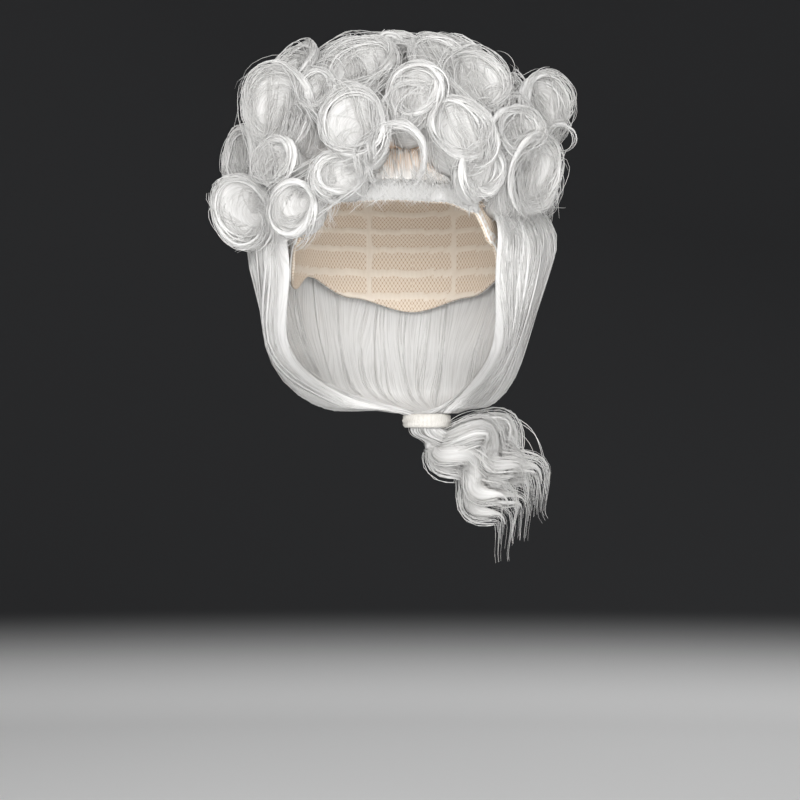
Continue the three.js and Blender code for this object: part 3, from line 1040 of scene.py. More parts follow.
@dataclass(frozen=True)
class Winding:
    """One kind of hair in a curl.

    Its part of all the hairs, its clumps, its turn in radians, the scatter of the clock angle where it ends,
    and where along it leaves its ring. Then its reach and its depth, each at both ends, as shares of the
    curl's radius and of the way back to the root, its half thickness in mm and its tone. Falling hair leaves
    the ring and hangs below it, to end at a clock angle of its own. Hanging hair crosses the mouth, except
    in the low curls, where it winds as its other values say.
    """

    part: float
    clumps: int
    turn: Pair
    scatter: float
    leaves: Pair
    reach: tuple[Pair, Pair]
    depth: tuple[Pair, Pair]
    half: Pair = (0.17, 0.36)
    tone: float = 0.66
    falls: float = 0.0
    hangs: bool = False


RING_WINDINGS = (
    Winding(
        0.16, 14, (0.5, 1.6), 3.1, (0.0, 0.3),
        ((0.86, 0.97), (0.92, 1.0)), ((0.75, 0.98), (-0.02, 0.12)), (0.2, 0.42), 0.55,
    ),
    Winding(
        0.2, 6, (2.4, 4.4), 0.7, (0.35, 0.8),
        ((0.93, 1.0), (0.25, 0.9)), ((0.0, 0.16), (-0.06, 0.02)),
    ),
    # Hairs that wind in over the dish have a low tone (0.4): painted shade in the sunk dish.
    Winding(
        0.06, 10, (0.9, 2.4), 3.1, (0.0, 0.4),
        ((0.6, 0.97), (0.08, 0.55)), ((0.0, 0.08), (0.0, 0.1)), tone=0.4,
    ),
    Winding(
        0.3, 8, (0.9, 2.2), 3.1, (0.0, 0.4),
        ((0.6, 0.97), (0.08, 0.6)), ((0.0, 0.1), (-0.04, 0.14)), tone=0.52, hangs=True,
    ),
    Winding(
        0.16, 5, (3.4, 4.8), 0.35, (0.45, 0.7),
        ((0.88, 1.04), (1.1, 1.6)), ((0.0, 0.12), (0.0, 0.25)), falls=150.0,
    ),
    Winding(
        0.06, 3, (0.7, 1.8), 0.6, (0.0, 0.3),
        ((0.3, 0.8), (1.08, 1.5)), ((-0.06, 0.02), (0.0, 0.3)), tone=0.6, falls=180.0,
    ),
    Winding(
        0.06, 14, (0.6, 1.9), 3.1, (0.0, 0.4),
        ((0.8, 0.98), (0.85, 1.22)), ((-0.02, 0.2), (-0.06, 0.25)), (0.09, 0.18),
    ),
)
OPEN_WINDINGS = (
    Winding(
        0.85, 5, (3.4, 4.0), 0.1, (0.0, 0.5),
        ((0.86, 0.98), (0.86, 1.0)), ((0.1, 0.35), (0.0, 0.12)),
    ),
    Winding(
        0.15, 6, (1.6, 3.4), 0.5, (0.0, 0.5),
        ((0.86, 1.06), (0.76, 1.1)), ((0.0, 0.35), (0.0, 0.2)),
    ),
)


@dataclass
class CrownCurls:
    """Curls over the crown: each a ring of hair wound from its root to its mouth round a shallow dish."""

    waist: float = 0.88
    sunk: float = 0.34
    forward: float = 0.3
    open_forward: float = 0.75
    slack: float = 1.5 * MM
    off_middle: float = 0.38
    front_hairs: int = 224
    back_hairs: int = 80
    open_hairs: int = 130
    open_early: float = 0.9
    falls_to: float = 150.0
    low: float = -50.0
    middling: float = -40.0
    long_tail: float = 1.6
    short_tail: float = 1.3
    tail_lift: float = 0.09
    tail_bend: float = 0.34
    outer: float = 60.0
    front_bands: int = 10
    back_bands: int = 6
    back_thicker: float = 1.7
    steepest: float = 55.0
    row_ends: float = 150.0
    mass: Mass = field(default_factory=Mass)
    rows: tuple[CurlRow, ...] = (
        CurlRow(84, 180, 180, 1, 22, 14),
        CurlRow(60, 66, 290, 6, 26, 25),
        CurlRow(32, 104, 256, 5, 28, 25),
        CurlRow(6, 98, 262, 6, 26, 23),
    )

    def all_curls(self) -> list[Curl]:
        """The front curls and the rows over the top and back.

        Returns:
            All curls in the part's order.
        """
        curls = list(FRONT_CURLS)
        for row in self.rows:
            for at in range(row.count):
                azimuth = mix(row.first, row.last, at / (row.count - 1) if row.count > 1 else 0.0)
                x, y, z = self.mass.point(np.array(azimuth), np.array(row.elevation)) / MM
                hand = 1 if at % 2 == 0 else -1
                ways = (azimuth, min(row.elevation, self.steepest))
                curls.append(Curl(x, y, z, *ways, row.radius, self.row_ends * hand, hand, row.breadth))
        return curls

    def frame(self, curl: Curl) -> tuple[Array, Array, Array]:
        """A curl's axis, its upright way and the way sideways from it.

        Args:
            curl: The curl.

        Returns:
            Three unit vectors.
        """
        axis = HEAD.direction(curl.faces, curl.raised)
        upright = unit(np.array([0, 0, 1.0]) - axis * axis[2])
        return axis, upright, np.cross(upright, axis)

    def towards(self, curl: Curl, other: Curl) -> float:
        """Clock angle on a curl at which another curl lies.

        Args:
            curl: The curl.
            other: The other one.

        Returns:
            The angle in radians.
        """
        _, upright, sideways = self.frame(curl)
        way = np.array([other.x - curl.x, other.y - curl.y, other.z - curl.z])
        return math.atan2(way @ sideways, way @ upright)

    def hand(self, curl: Curl, falls: bool) -> float:
        """Way round that hair winds. Outer curls let their falling hair hang on the inner side.

        Args:
            curl: The curl.
            falls: Whether the hair leaves the ring and falls.

        Returns:
            1 for clockwise, -1 for the other way.
        """
        inner = falls and abs(curl.x) > self.outer
        return math.copysign(1.0, -curl.x if inner else curl.winds)

    def coil(self, curl: Curl, clock: Array, reach: Array, depth: Array, lift: Array) -> Array:
        """Points of a curl by clock angle, reach from its middle and depth towards its root.

        The ring is a circle bent by two slow cosines and narrows towards the root. Inside it the mouth is a
        dish, which sinks with one less the square of the reach and whose middle lies towards the lock's end.

        Args:
            curl: The curl.
            clock: Clock angle in radians, clockwise from the front.
            reach: Share of the curl's radius.
            depth: Share of the way from the mouth to the root on the cap.
            lift: Height along the curl's axis in metres.

        Returns:
            Points of shape (..., 3).
        """
        mouth = curl.mouth()
        root = HEAD.under(mouth, LAYERS.cap_wall + LAYERS.weft_hairline)
        axis, upright, sideways = self.frame(curl)
        phase = curl.x + curl.z
        uneven = 1 + 0.05 * np.cos(clock + phase) + 0.1 * np.cos(2 * clock - 1.7 * phase)
        radius = curl.radius * MM - self.slack
        ring = radius * uneven * reach * mix(1.0, self.waist, depth)
        hung = math.radians(curl.ends)
        aside = (math.cos(hung) * upright + math.sin(hung) * sideways) * self.off_middle * radius
        inside = np.minimum(reach, 1.0)
        dish = self.sunk * radius * (1 - inside**2)
        forward = self.open_forward if curl.open else self.forward
        height = forward * curl.breadth * MM * (1 - depth) - dish + lift
        outward = np.cos(clock)[..., None] * upright + np.sin(clock)[..., None] * sideways
        middle = mouth + (root - mouth) * depth[..., None] + aside * (1 - inside)[..., None]
        return middle + outward * ring[..., None] + axis * height[..., None]

    def hanging(self, curl: Curl, clumps: Clumps, step: Array) -> tuple[Array, Array]:
        """Hair that hangs across the mouth, from the upper lip over the lower one.

        Each hair runs evenly down from a chord of the ring, and is drawn aside towards the lock's end with
        the power 1.5 of its share.

        Args:
            curl: The curl.
            clumps: The hairs' clumps.
            step: Places along the hairs.

        Returns:
            Clock angles and reaches.
        """
        aside = clumps.draw(-0.9, 0.9, 0.06)
        chord = np.sqrt(1 - np.minimum(aside**2, 0.95))
        longest = self.long_tail if curl.z > self.middling else self.short_tail
        upright = mix(0.97 * chord, -clumps.draw(0.9, longest, 0.06), step)
        drawn = math.sin(math.radians(curl.ends)) * 0.45
        across = mix(aside, drawn + 0.45 * aside, step**1.5) + clumps.wave(step, 0.03)
        return np.arctan2(across, upright), np.hypot(across, upright)

    def core(self, curl: Curl) -> Patch:
        """Closed body under the hairs: the dish, then the barrel back to the root.

        Args:
            curl: The curl.

        Returns:
            The patch.
        """
        dish, barrel = 8, 7
        reach = np.concatenate([np.linspace(0.05, 0.88, dish), np.linspace(0.92, 0.9, barrel)])[:, None]
        depth = np.concatenate([np.full(dish, 0.04), np.linspace(0.08, 0.8, barrel)])[:, None]
        clock = np.linspace(0, 2 * math.pi, 27)[None, :]
        rings = self.coil(curl, *np.broadcast_arrays(clock[:, :-1], reach, depth, np.array(-0.8 * MM)))
        across = np.linspace(0, 2 * curl.radius * MM, dish + barrel)[:, None]
        # Painted shade: the dish's tone runs from 0 at its middle to 0.35 at its edge, darker where the curl
        # is sunk.
        tone = np.concatenate([np.linspace(0.0, 0.35, dish), np.full(barrel, 0.5)])[None, :, None]
        return skin(rings[None], across, clock * curl.radius * MM, tone, Ends.POLE)

    def bands(self, curl: Curl, count: int, rng: Rng) -> Patch:
        """Flat satin locks round the lip, which by turns fall below the curl and end in its dish.

        Args:
            curl: The curl.
            count: How many.
            rng: Source of unevenness.

        Returns:
            The patch.
        """
        clumps = Clumps(count, count, rng)
        step = stages(17)
        falls = (np.arange(count) % 2 == 0)[:, None] & (not curl.open)
        hand = np.where(falls, self.hand(curl, True), self.hand(curl, False))
        end = np.radians(np.where(falls, hand * self.falls_to, curl.ends))
        end = end - hand * self.open_early * curl.open
        end = end + clumps.free(-0.8, 0.8) * np.where(falls, 0.5, 0.3 if curl.open else 1.0)
        clock = end - hand * (clumps.free(2.4, 4.2) + 0.6 * falls) * (1 - step)
        inner = clumps.free(0.86, 0.98) if curl.open else clumps.free(0.3, 0.95)
        inner = np.where(falls, clumps.free(1.0, 1.45), inner)
        reach = mix(clumps.free(0.87, 0.98), inner, smooth(step, clumps.free(0.3, 0.75), 1.05))
        depth = mix(clumps.free(0.0, 0.22), clumps.free(-0.04, 0.03), step)
        lift = clumps.free(0.0, 1.6) * MM + clumps.wave(step, 0.5 * MM)
        centre = self.coil(curl, clock, reach, depth, lift)
        outward = unit(HEAD.direction(curl.faces, curl.raised) + 0.7 * unit(centre - curl.mouth()))
        taper = mix(0.12, 1.0, smooth(step, 0, 0.35)) * mix(1.0, 0.08, smooth(step, 0.55, 1.0))
        return clumps.satin(centre, outward, taper, (1.2, 2.8), (0.35, 0.6), 0.72)

    def wound(
        self, curl: Curl, winding: Winding, count: int, shown: bool, rng: Rng
    ) -> Patch:
        """Hairs of one kind.

        Clock angle and depth run evenly along each, and its reach eases from the ring that it follows to the
        one where it ends, all with small waves. Hanging hair stands off the mouth and bends back at its end.

        Args:
            curl: The curl.
            winding: The kind of hair.
            count: How many.
            shown: Whether it is a front curl, whose hairs are finer.
            rng: Source of unevenness.

        Returns:
            The patch.
        """
        step = stages(2 + round((3.6 if shown else 3.0) * winding.turn[1]))
        thicker = 1.0 if shown else self.back_thicker
        clumps = Clumps(count, winding.clumps, rng)
        hand = self.hand(curl, winding.falls > 0)
        end = math.radians(hand * winding.falls if winding.falls > 0 else curl.ends)
        end = end + clumps.draw(-winding.scatter, winding.scatter, 0.22)
        end = end - hand * self.open_early * curl.open
        clock = end - hand * clumps.draw(*winding.turn, 0.3) * (1 - step)
        leaves = clumps.draw(*winding.leaves, 0.06)
        reach = mix(*(clumps.draw(*ends, 0.03) for ends in winding.reach), smooth(step, leaves, 1.05))
        hangs = winding.hangs and curl.z > self.low
        if hangs:
            clock, reach = self.hanging(curl, clumps, step)
        depth = mix(*(clumps.draw(*ends, 0.03) for ends in winding.depth), step)
        reach = reach + clumps.wave(step, 0.02)
        tilt = clumps.draw(-0.13, 0.13, 0.03) * np.cos(clock)
        tilt = tilt + clumps.draw(-0.13, 0.13, 0.03) * np.sin(clock)
        lift = tilt * curl.radius * MM * reach + clumps.wave(step, 0.5 * MM)
        clear = self.tail_lift * curl.radius * MM + clumps.draw(0, 1.4, 0.2) * MM
        lift = lift + hangs * clear * smooth(step, 0.1, 0.6)
        depth = depth + hangs * self.tail_bend * smooth(reach * step, 0.9, 1.6)
        centre = self.coil(curl, clock, reach, depth, lift)
        axis = np.broadcast_to(HEAD.direction(curl.faces, curl.raised), centre.shape)
        half = clumps.free(*winding.half) * thicker * MM
        return hairs(centre, axis, half, clumps.tone(winding.tone), rng)

    def patch(self, curl: Curl, shown: bool, rng: Rng) -> Patch:
        """Skins of one curl.

        Args:
            curl: The curl.
            shown: Whether it is one of the front curls, which have more hairs.
            rng: Its own source of unevenness.

        Returns:
            The patch of its core and hairs.
        """
        windings = OPEN_WINDINGS if curl.open else RING_WINDINGS
        count = self.open_hairs if curl.open else self.front_hairs if shown else self.back_hairs
        parts = [self.wound(curl, kind, round(kind.part * count), shown, rng) for kind in windings]
        parts.append(self.bands(curl, self.front_bands if shown else self.back_bands, rng))
        return Patch.joined(parts if curl.open else [self.core(curl)] + parts)

    def build(self, material: Material) -> None:
        """Dress every curl, each as a piece of its own.

        Args:
            material: Finish of the hair.
        """
        for number, curl in enumerate(self.all_curls(), start=1):
            rng = np.random.default_rng(100 + number)
            patch = self.patch(curl, number <= len(FRONT_CURLS), rng)
            dressed(f"hair_curl_{number:02d}", patch, material, Slot.HAIR, [f"curl_{number:02d}"])


@dataclass
class TiedHair:
    """Smooth hair drawn from its sewn line over the ears to the tie at the nape: two sides and a back."""

    front: float = 58.0
    side_end: float = 128.0
    ear_level: float = -8.0
    thickness: float = 12 * MM
    front_thickness: float = 5 * MM
    nape_x: float = -5 * MM
    nape_half: Pair = (78 * MM, 84 * MM)
    nape_middle: float = 18 * MM
    nape_front: float = 65.0
    nape_height: Pair = (-166 * MM, -164 * MM)
    gather_x: float = -4 * MM
    gather_half: Pair = (57 * MM, 34 * MM)
    gather_front: float = 48.0
    gather_height: float = -200 * MM
    tie: Triple = TIE
    tie_radius: float = 16 * MM
    tie_wall: float = 7 * MM
    lock_width: float = 6.5
    columns: int = 64
    rows: int = 44
    outer_hairs: int = 240
    inner_hairs: int = 42
    satin_locks: int = 18
    gathered_hairs: int = 60

    def flow(self, azimuth: Array, share: Array) -> Array:
        """Points of the hair's inner face: a curve from the sewn line out over ear level, in under it and
        back to the tie.

        Args:
            azimuth: Azimuth at the sewn line.
            share: Place along the hair from 0 at the sewn line to 1 at the tie.

        Returns:
            Points of shape (..., 3).
        """
        azimuth, share = np.broadcast_arrays(np.asarray(azimuth, float), np.asarray(share, float))
        side = np.sign((azimuth + 180.0) % 360.0 - 180.0)
        turn = (folded(azimuth) - self.front) / (180.0 - self.front)
        nape = np.radians(mix(self.nape_front, 180.0, turn))
        gather = np.radians(mix(self.gather_front, 180.0, turn))
        root = HEAD.elevation_at(edge_at("sewn", azimuth) - 4 * LAYERS.gap)
        seat = LAYERS.cap_wall + LAYERS.band_wall + 3 * LAYERS.gap
        bulge = edge_at("bulge", azimuth)
        ear = np.full_like(azimuth, self.ear_level)

        def oval(x: float, y: float, half: Pair, angle: Array, height: Array) -> Array:
            """Points of a level oval."""
            level = (x + side * half[0] * np.sin(angle), y - half[1] * np.cos(angle))
            return np.stack(np.broadcast_arrays(*level, height), axis=-1)

        round_tie = (self.tie_radius, self.tie_radius)
        controls = np.stack([
            HEAD.point(azimuth, root, seat),
            HEAD.point(azimuth, (root + ear) / 2, bulge),
            HEAD.point(azimuth, ear, 0.9 * bulge),
            oval(self.nape_x, self.nape_middle, self.nape_half, nape, mix(*self.nape_height, turn)),
            oval(self.gather_x, self.tie[1], self.gather_half, gather, self.gather_height),
            oval(self.tie[0], self.tie[1], round_tie, gather, self.tie[2]),
        ])
        return spline(controls, share)

    def frame_at(self, azimuth: Array, share: Array) -> tuple[Array, Array, Array]:
        """Inner face, outward normal and wall of the hair.

        Args:
            azimuth: Azimuth at the sewn line.
            share: Place along the hair.

        Returns:
            Points, normals and wall thickness in metres.
        """
        step = 1e-3
        azimuth, share = np.broadcast_arrays(np.asarray(azimuth, float), np.asarray(share, float))
        point = self.flow(azimuth, share)
        across = self.flow(azimuth + step, share) - self.flow(azimuth - step, share)
        near = np.clip(share, 0, 1 - step)
        along = self.flow(azimuth, near + step) - self.flow(azimuth, near)
        level = unit((point - np.array(self.tie)) * np.array([1.0, 1.0, 0.0]))
        normal = unit(np.cross(along, across))
        normal = unit(mix(normal, level, smooth(share, 0.75, 1.0)[..., None]))
        full = smooth(folded(azimuth), self.front, self.front + 16)
        body = mix(self.front_thickness, self.thickness, full)
        swell = mix(0.3, 1.0, smooth(share, 0, 0.3))
        wave = 1 + 0.13 * np.sin(15 * share + 0.11 * azimuth) * smooth(share, 0.05, 0.25)
        return point, normal, mix(body * swell * wave, self.tie_wall, smooth(share, 0.6, 1.0))

    def sway(self, azimuth: Array, share: Array) -> Array:
        """Degrees by which the locks wander sideways: slow waves that die out at both ends.

        Args:
            azimuth: Azimuth at the sewn line.
            share: Place along the hair.

        Returns:
            Degrees.
        """
        held = smooth(share, 0.02, 0.3) * (1 - smooth(share, 0.7, 0.98))
        slow = np.sin(0.21 * azimuth + 7.5 * share) + 0.6 * np.sin(0.083 * azimuth - 11.0 * share + 1.0)
        return 2.4 * held * slow

    def thinned(self, azimuth: Array, span: Pair) -> Array:
        """Share of the wall's thickness that is left near the side edges of a span."""
        return smooth(np.minimum(azimuth - span[0], span[1] - azimuth), -1.0, 2.6)

    def core(self, first: float, last: float) -> Patch:
        """Wall of hair whose outer face is laid in rounded locks.

        The wall's thickness is scaled by 0.88 to 1 over each lock, as the upper half of an ellipse over a
        strip of azimuth that wanders with the sway, and thins towards both side edges.

        Args:
            first: First azimuth.
            last: Last azimuth.

        Returns:
            The patch.
        """
        azimuth = np.linspace(first, last, self.columns)[:, None]
        share = stages(self.rows)
        point, normal, wall = self.frame_at(azimuth, share)
        strip = (azimuth + self.sway(azimuth, share) - first) / self.lock_width
        lift = wall * self.thinned(azimuth, (first, last)) * mix(0.88, 1.0, humps(strip))
        outer = point + normal * lift[..., None]
        loop = np.concatenate([point, outer[:, ::-1]], axis=1)[None]
        place = np.concatenate([share[0], share[0, ::-1], share[0, :1]]) * 0.21
        wander = np.broadcast_to(azimuth + self.sway(azimuth, share), wall.shape) * 1.9 * MM
        across = np.concatenate([wander, wander[:, ::-1], wander[:, :1]], axis=1)[None]
        return skin(loop, across, place[None, None], 0.5, Ends.ZIP)

    def strewn(self, span: Pair, inside: bool, rng: Rng) -> Patch:
        """Hairs in clumps laid along the outer or the inner face.

        Args:
            span: First and last azimuth.
            inside: On the inner face.
            rng: Source of unevenness.

        Returns:
            The patch.
        """
        first, last = span
        step = stages(20)
        clumps = Clumps(self.inner_hairs if inside else self.outer_hairs, 18, rng)
        home = np.clip(clumps.draw(first + 2, last - 2, 1.5), first + 0.8, last - 0.8)
        held = smooth(step, 0.0, 0.2) * (1 - smooth(step, 0.75, 1.0))
        own = held * (clumps.wave(step, 0.6) + clumps.draw(-1.2, 1.2, 0.4) * np.sin(math.pi * step))
        azimuth = np.clip(home - self.sway(home, step) + own, first + 0.6, last - 0.6)
        place = mix(clumps.free(0.0, 0.06), 1 - clumps.free(0.0, 0.04), step)
        point, normal, wall = self.frame_at(azimuth, place)
        rise = held * (clumps.draw(-0.3, 0.9, 0.35) * MM + clumps.wave(step, 0.35 * MM))
        lift = -0.5 * np.abs(rise) if inside else wall * self.thinned(azimuth, span) + rise
        centre = point + normal * lift[..., None]
        return clumps.hairs(centre, normal, (0.22, 0.45), 0.6)

    def satin(self, span: Pair, rng: Rng) -> Patch:
        """Flat locks along the flow over the outer face, thinner at both ends.

        Args:
            span: First and last azimuth.
            rng: Source of unevenness.

        Returns:
            The patch.
        """
        first, last = span
        clumps = Clumps(self.satin_locks, self.satin_locks, rng)
        step = stages(22)
        home = clumps.free(first + 3, last - 3)
        place = mix(clumps.free(0.02, 0.4), clumps.free(0.62, 0.97), step)
        own = clumps.free(0.5, 2.2) * np.sin(clumps.free(6, 10) * place + clumps.free(0, 6))
        azimuth = np.clip(home - self.sway(home, place) + own, first + 1.5, last - 1.5)
        point, normal, wall = self.frame_at(azimuth, place)
        lift = wall * self.thinned(azimuth, span)
        lift = lift + clumps.free(0.0, 0.7) * MM + clumps.wave(step, 0.5 * MM)
        centre = point + normal * lift[..., None]
        return clumps.satin(centre, normal, spindle(step), (1.4, 3.6), (0.4, 0.7), 0.66)

    def gathered(self, edge: float, rng: Rng) -> Patch:
        """Hairs from a side's front edge that close round the front of the stem and go into the tie.

        Each follows the side's inner face and eases to a point of its own on a circle inside the tie.

        Args:
            edge: Azimuth of the side's front edge.
            rng: Source of unevenness.

        Returns:
            The patch.
        """
        clumps = Clumps(self.gathered_hairs, 9, rng)
        step = stages(18)
        side = math.copysign(1.0, edge)
        azimuth = edge + side * (clumps.free(0.5, 14.0) + 0.0 * step)
        share = mix(clumps.free(0.45, 0.6), 1.0, step)
        point, normal, _ = self.frame_at(azimuth, share)
        turn = np.radians(clumps.draw(-12, 60, 4.0))
        close = self.tie_radius - 3.2 * MM
        level = (side * close * np.sin(turn), -close * np.cos(turn))
        goal = np.array(self.tie) + np.stack([*level, 0.0 * turn + clumps.free(-4, 1) * MM], axis=-1)
        centre = mix(point, goal, smooth(step, 0.45, 1.0)[..., None])
        centre = centre - normal * (np.sin(math.pi * step) * clumps.free(0.3, 2.2) * MM)[..., None]
        return clumps.hairs(centre, normal, (0.25, 0.5), 0.6)

    def build(self, material: Material) -> None:
        """Dress the two sides and the back.

        Args:
            material: Finish of the hair.
        """
        spans = (
            ("drawn_hair_right", "side_hair_right", -self.side_end, -self.front, 11),
            ("drawn_hair_left", "side_hair_left", self.front, self.side_end, 12),
            ("drawn_hair_back", "back_hair", self.side_end, 360 - self.side_end, 13),
        )
        for name, node, first, last, seed in spans:
            rng = np.random.default_rng(seed)
            parts = [
                self.core(first, last),
                self.strewn((first, last), False, rng),
                self.strewn((first, last), True, rng),
                self.satin((first, last), rng),
            ]
            if node != "back_hair":
                parts.append(self.gathered(min(first, last, key=abs), rng))
            dressed(name, Patch.joined(parts), material, Slot.HAIR, [node])


@dataclass
class Queue:
    """Tied tail: corkscrew locks side by side from the stem below the tie."""

    tie: Triple = TIE
    tie_width: float = 10 * MM
    bore: float = 13 * MM
    locks: int = 7
    breadth: float = 24 * MM
    thickness: float = 16 * MM
    helix: float = 8 * MM
    turns: float = 2.4
    spread: float = 21 * MM
    uneven: float = 0.07
    swept_hairs: int = 110
    loop_hairs: int = 30
    line: tuple[Triple, ...] = (
        (0, 0, -7), (22, 12, -9), (46, 20, -24), (60, 18, -47), (74, 14, -73),
    )
    rng: Rng = field(default_factory=lambda: np.random.default_rng(21))

    def stem_end(self) -> float:
        """Height where the stem leaves the tie."""
        return self.tie[2] - self.tie_width - 4 * MM

    def controls(self) -> Array:
        """Points of the queue's middle line, from below the tie."""
        return np.array([self.tie[0], self.tie[1], self.stem_end()]) + np.array(self.line) * MM

    def ways(self) -> tuple[Array, Array]:
        """Ways across the queue and behind it.

        Returns:
            Two unit vectors.
        """
        controls = self.controls()
        drop = controls[-1] - controls[0]
        return unit(np.array([-drop[2], 0.0, drop[0]])), np.array([0.0, 1.0, 0.0])

    def along(self, share: Array) -> Array:
        """Points of the middle line at shares of its length."""
        return spline(self.controls(), share)

    def corkscrew(self, number: int, share: Array) -> tuple[Array, Array]:
        """Middle line of one lock: the queue's line, opened to the lock's place and wound round it.

        Args:
            number: Number of the lock, from 0.
            share: Place along the lock.

        Returns:
            Centres and outward ways.
        """
        across, behind = self.ways()
        place = number / (self.locks - 1) * 2 * math.pi
        spread = 0.0 if number == 0 else self.spread
        length = 1 - self.uneven * (number % 3)
        opened = smooth(share, 0, 0.4)[..., None]
        clock = (0.15 * place + self.turns * 2 * math.pi * share)[..., None]
        wound = across * np.cos(clock) + behind * np.sin(clock)
        centre = self.along(share * length)
        centre = centre + (across * math.cos(place) + behind * math.sin(place)) * spread * opened
        return centre + wound * self.helix * opened, np.broadcast_to(-behind, centre.shape)

    def stem(self) -> Patch:
        """Gathered stem through the tie: a turned profile with shallow grooves down it.

        Returns:
            The patch.
        """
        top, end = self.tie[2] + 0.5 * MM, self.stem_end()
        radius = self.bore - 0.75 * MM
        profile = np.array([
            (0.02, top + 1 * MM), (0.6, top - 0.6 * MM), (0.98, top - 5 * MM), (1.0, end),
            (1.1, end - 8 * MM), (0.7, end - 13 * MM), (0.2, end - 16 * MM),
        ])
        ring = spline(np.c_[profile, np.zeros(len(profile))], np.linspace(0, 1, 26))
        turn = np.linspace(0, 2 * math.pi, 72, endpoint=False)
        groove = 1 - 0.035 * np.abs(np.sin(9 * turn))[None, :]
        reach = ring[:, :1] * radius * groove
        aside = np.maximum(end + 4 * MM - ring[:, 1:2], 0.0)
        rings = np.stack([
            self.tie[0] + reach * np.cos(turn) + 1.3 * aside,
            self.tie[1] + reach * np.sin(turn) + 0.7 * aside,
            np.broadcast_to(ring[:, 1:2], reach.shape),
        ], axis=-1)
        across = np.linspace(0, 2 * math.pi * radius, len(turn) + 1)
        return skin(rings[None], across, ring[None, :, 1:2], 0.4, Ends.POLE)

    def swept(self) -> Patch:
        """Hairs from the tie down round the stem and over into the corkscrews.

        Each is a smooth curve through two points of the stem, one below it and three beside the queue's
        middle line, with a ripple that grows towards its end.

        Returns:
            The patch.
        """
        clumps = Clumps(self.swept_hairs, 14, self.rng)
        step = stages(24)
        turn = clumps.draw(0, 2 * math.pi, 0.2)
        round_stem = np.stack([np.cos(turn), np.sin(turn), np.zeros_like(turn)], axis=-1)
        across, behind = self.ways()
        end = self.stem_end()
        heart = np.array([self.tie[0], self.tie[1], 0.0])
        aside = across * np.cos(turn)[..., None] + behind * np.sin(turn)[..., None]
        ahead = [self.along(np.full_like(turn, place)) for place in (0.34, 0.6, 0.84)]
        loose = clumps.draw(0.88, 1.1, 0.05)[..., None]
        controls = np.stack([
            heart + round_stem * 0.92 * self.bore + np.array([0, 0, self.tie[2] + 0.5 * MM]),
            heart + round_stem * 0.97 * self.bore + np.array([0, 0, end]),
            heart + round_stem * 1.05 * self.bore * loose + np.array([10 * MM, 5 * MM, end - 6 * MM]),
            ahead[0] + aside * 20 * MM * loose,
            ahead[1] + aside * 26 * MM * loose,
            ahead[2] + aside * 24 * MM * loose,
        ])
        share = step * clumps.draw(0.6, 0.95, 0.06)
        centre = spline(controls, np.clip(share, 0, 1))
        outward = mix(round_stem, aside, smooth(share, 0.35, 0.6)[..., None])
        ripple = smooth(share, 0.4, 0.8) * (clumps.wave(step, 1.2 * MM) + 2 * MM * np.sin(14 * share + turn))
        centre = centre + outward * ripple[..., None]
        return clumps.hairs(centre, outward, (0.22, 0.42), 0.55)

    def loops(self) -> Patch:
        """Thin wisps that leave the queue near its top, arch out to the right and come back lower down.

        Each is a smooth curve through five points set off from the queue's middle line.

        Returns:
            The patch.
        """
        clumps = Clumps(self.loop_hairs, 8, self.rng)
        step = stages(22)
        wide, high = clumps.draw(0.2, 0.85, 0.08), clumps.draw(0.2, 1.2, 0.12)
        places = ((0.2, 4, 8), (0.4, 14, 30), (0.55, 34, 30), (0.72, 36, 14), (0.9, 22, 4))
        controls = np.stack([
            self.along(np.full_like(wide, share))
            + np.stack([wide * x, clumps.draw(-6, 6, 1.0), high * z], axis=-1) * MM
            for share, x, z in places
        ])
        share = mix(0.0, clumps.free(0.75, 1.0), step)
        centre = spline(controls, share)
        outward = np.broadcast_to(np.array([0.0, -1.0, 0.0]), centre.shape)
        return clumps.hairs(centre, outward, (0.14, 0.3), 0.6)

    def patch(self) -> Patch:
        """Stem, the hair swept from it, the loops and the corkscrews.

        Returns:
            The patch.
        """
        bundle = Bundle(self.breadth / 2, self.thickness / 2, 60, 12, 4, 25)
        parts = [self.stem(), self.swept(), self.loops()]
        for number in range(self.locks):
            parts.append(bundle.patch(lambda share: self.corkscrew(number, share), self.rng))
        return Patch.joined(parts)

    def build(self, material: Material) -> None:
        """Dress the queue."""
        dressed("curled_queue", self.patch(), material, Slot.HAIR, ["queue"])


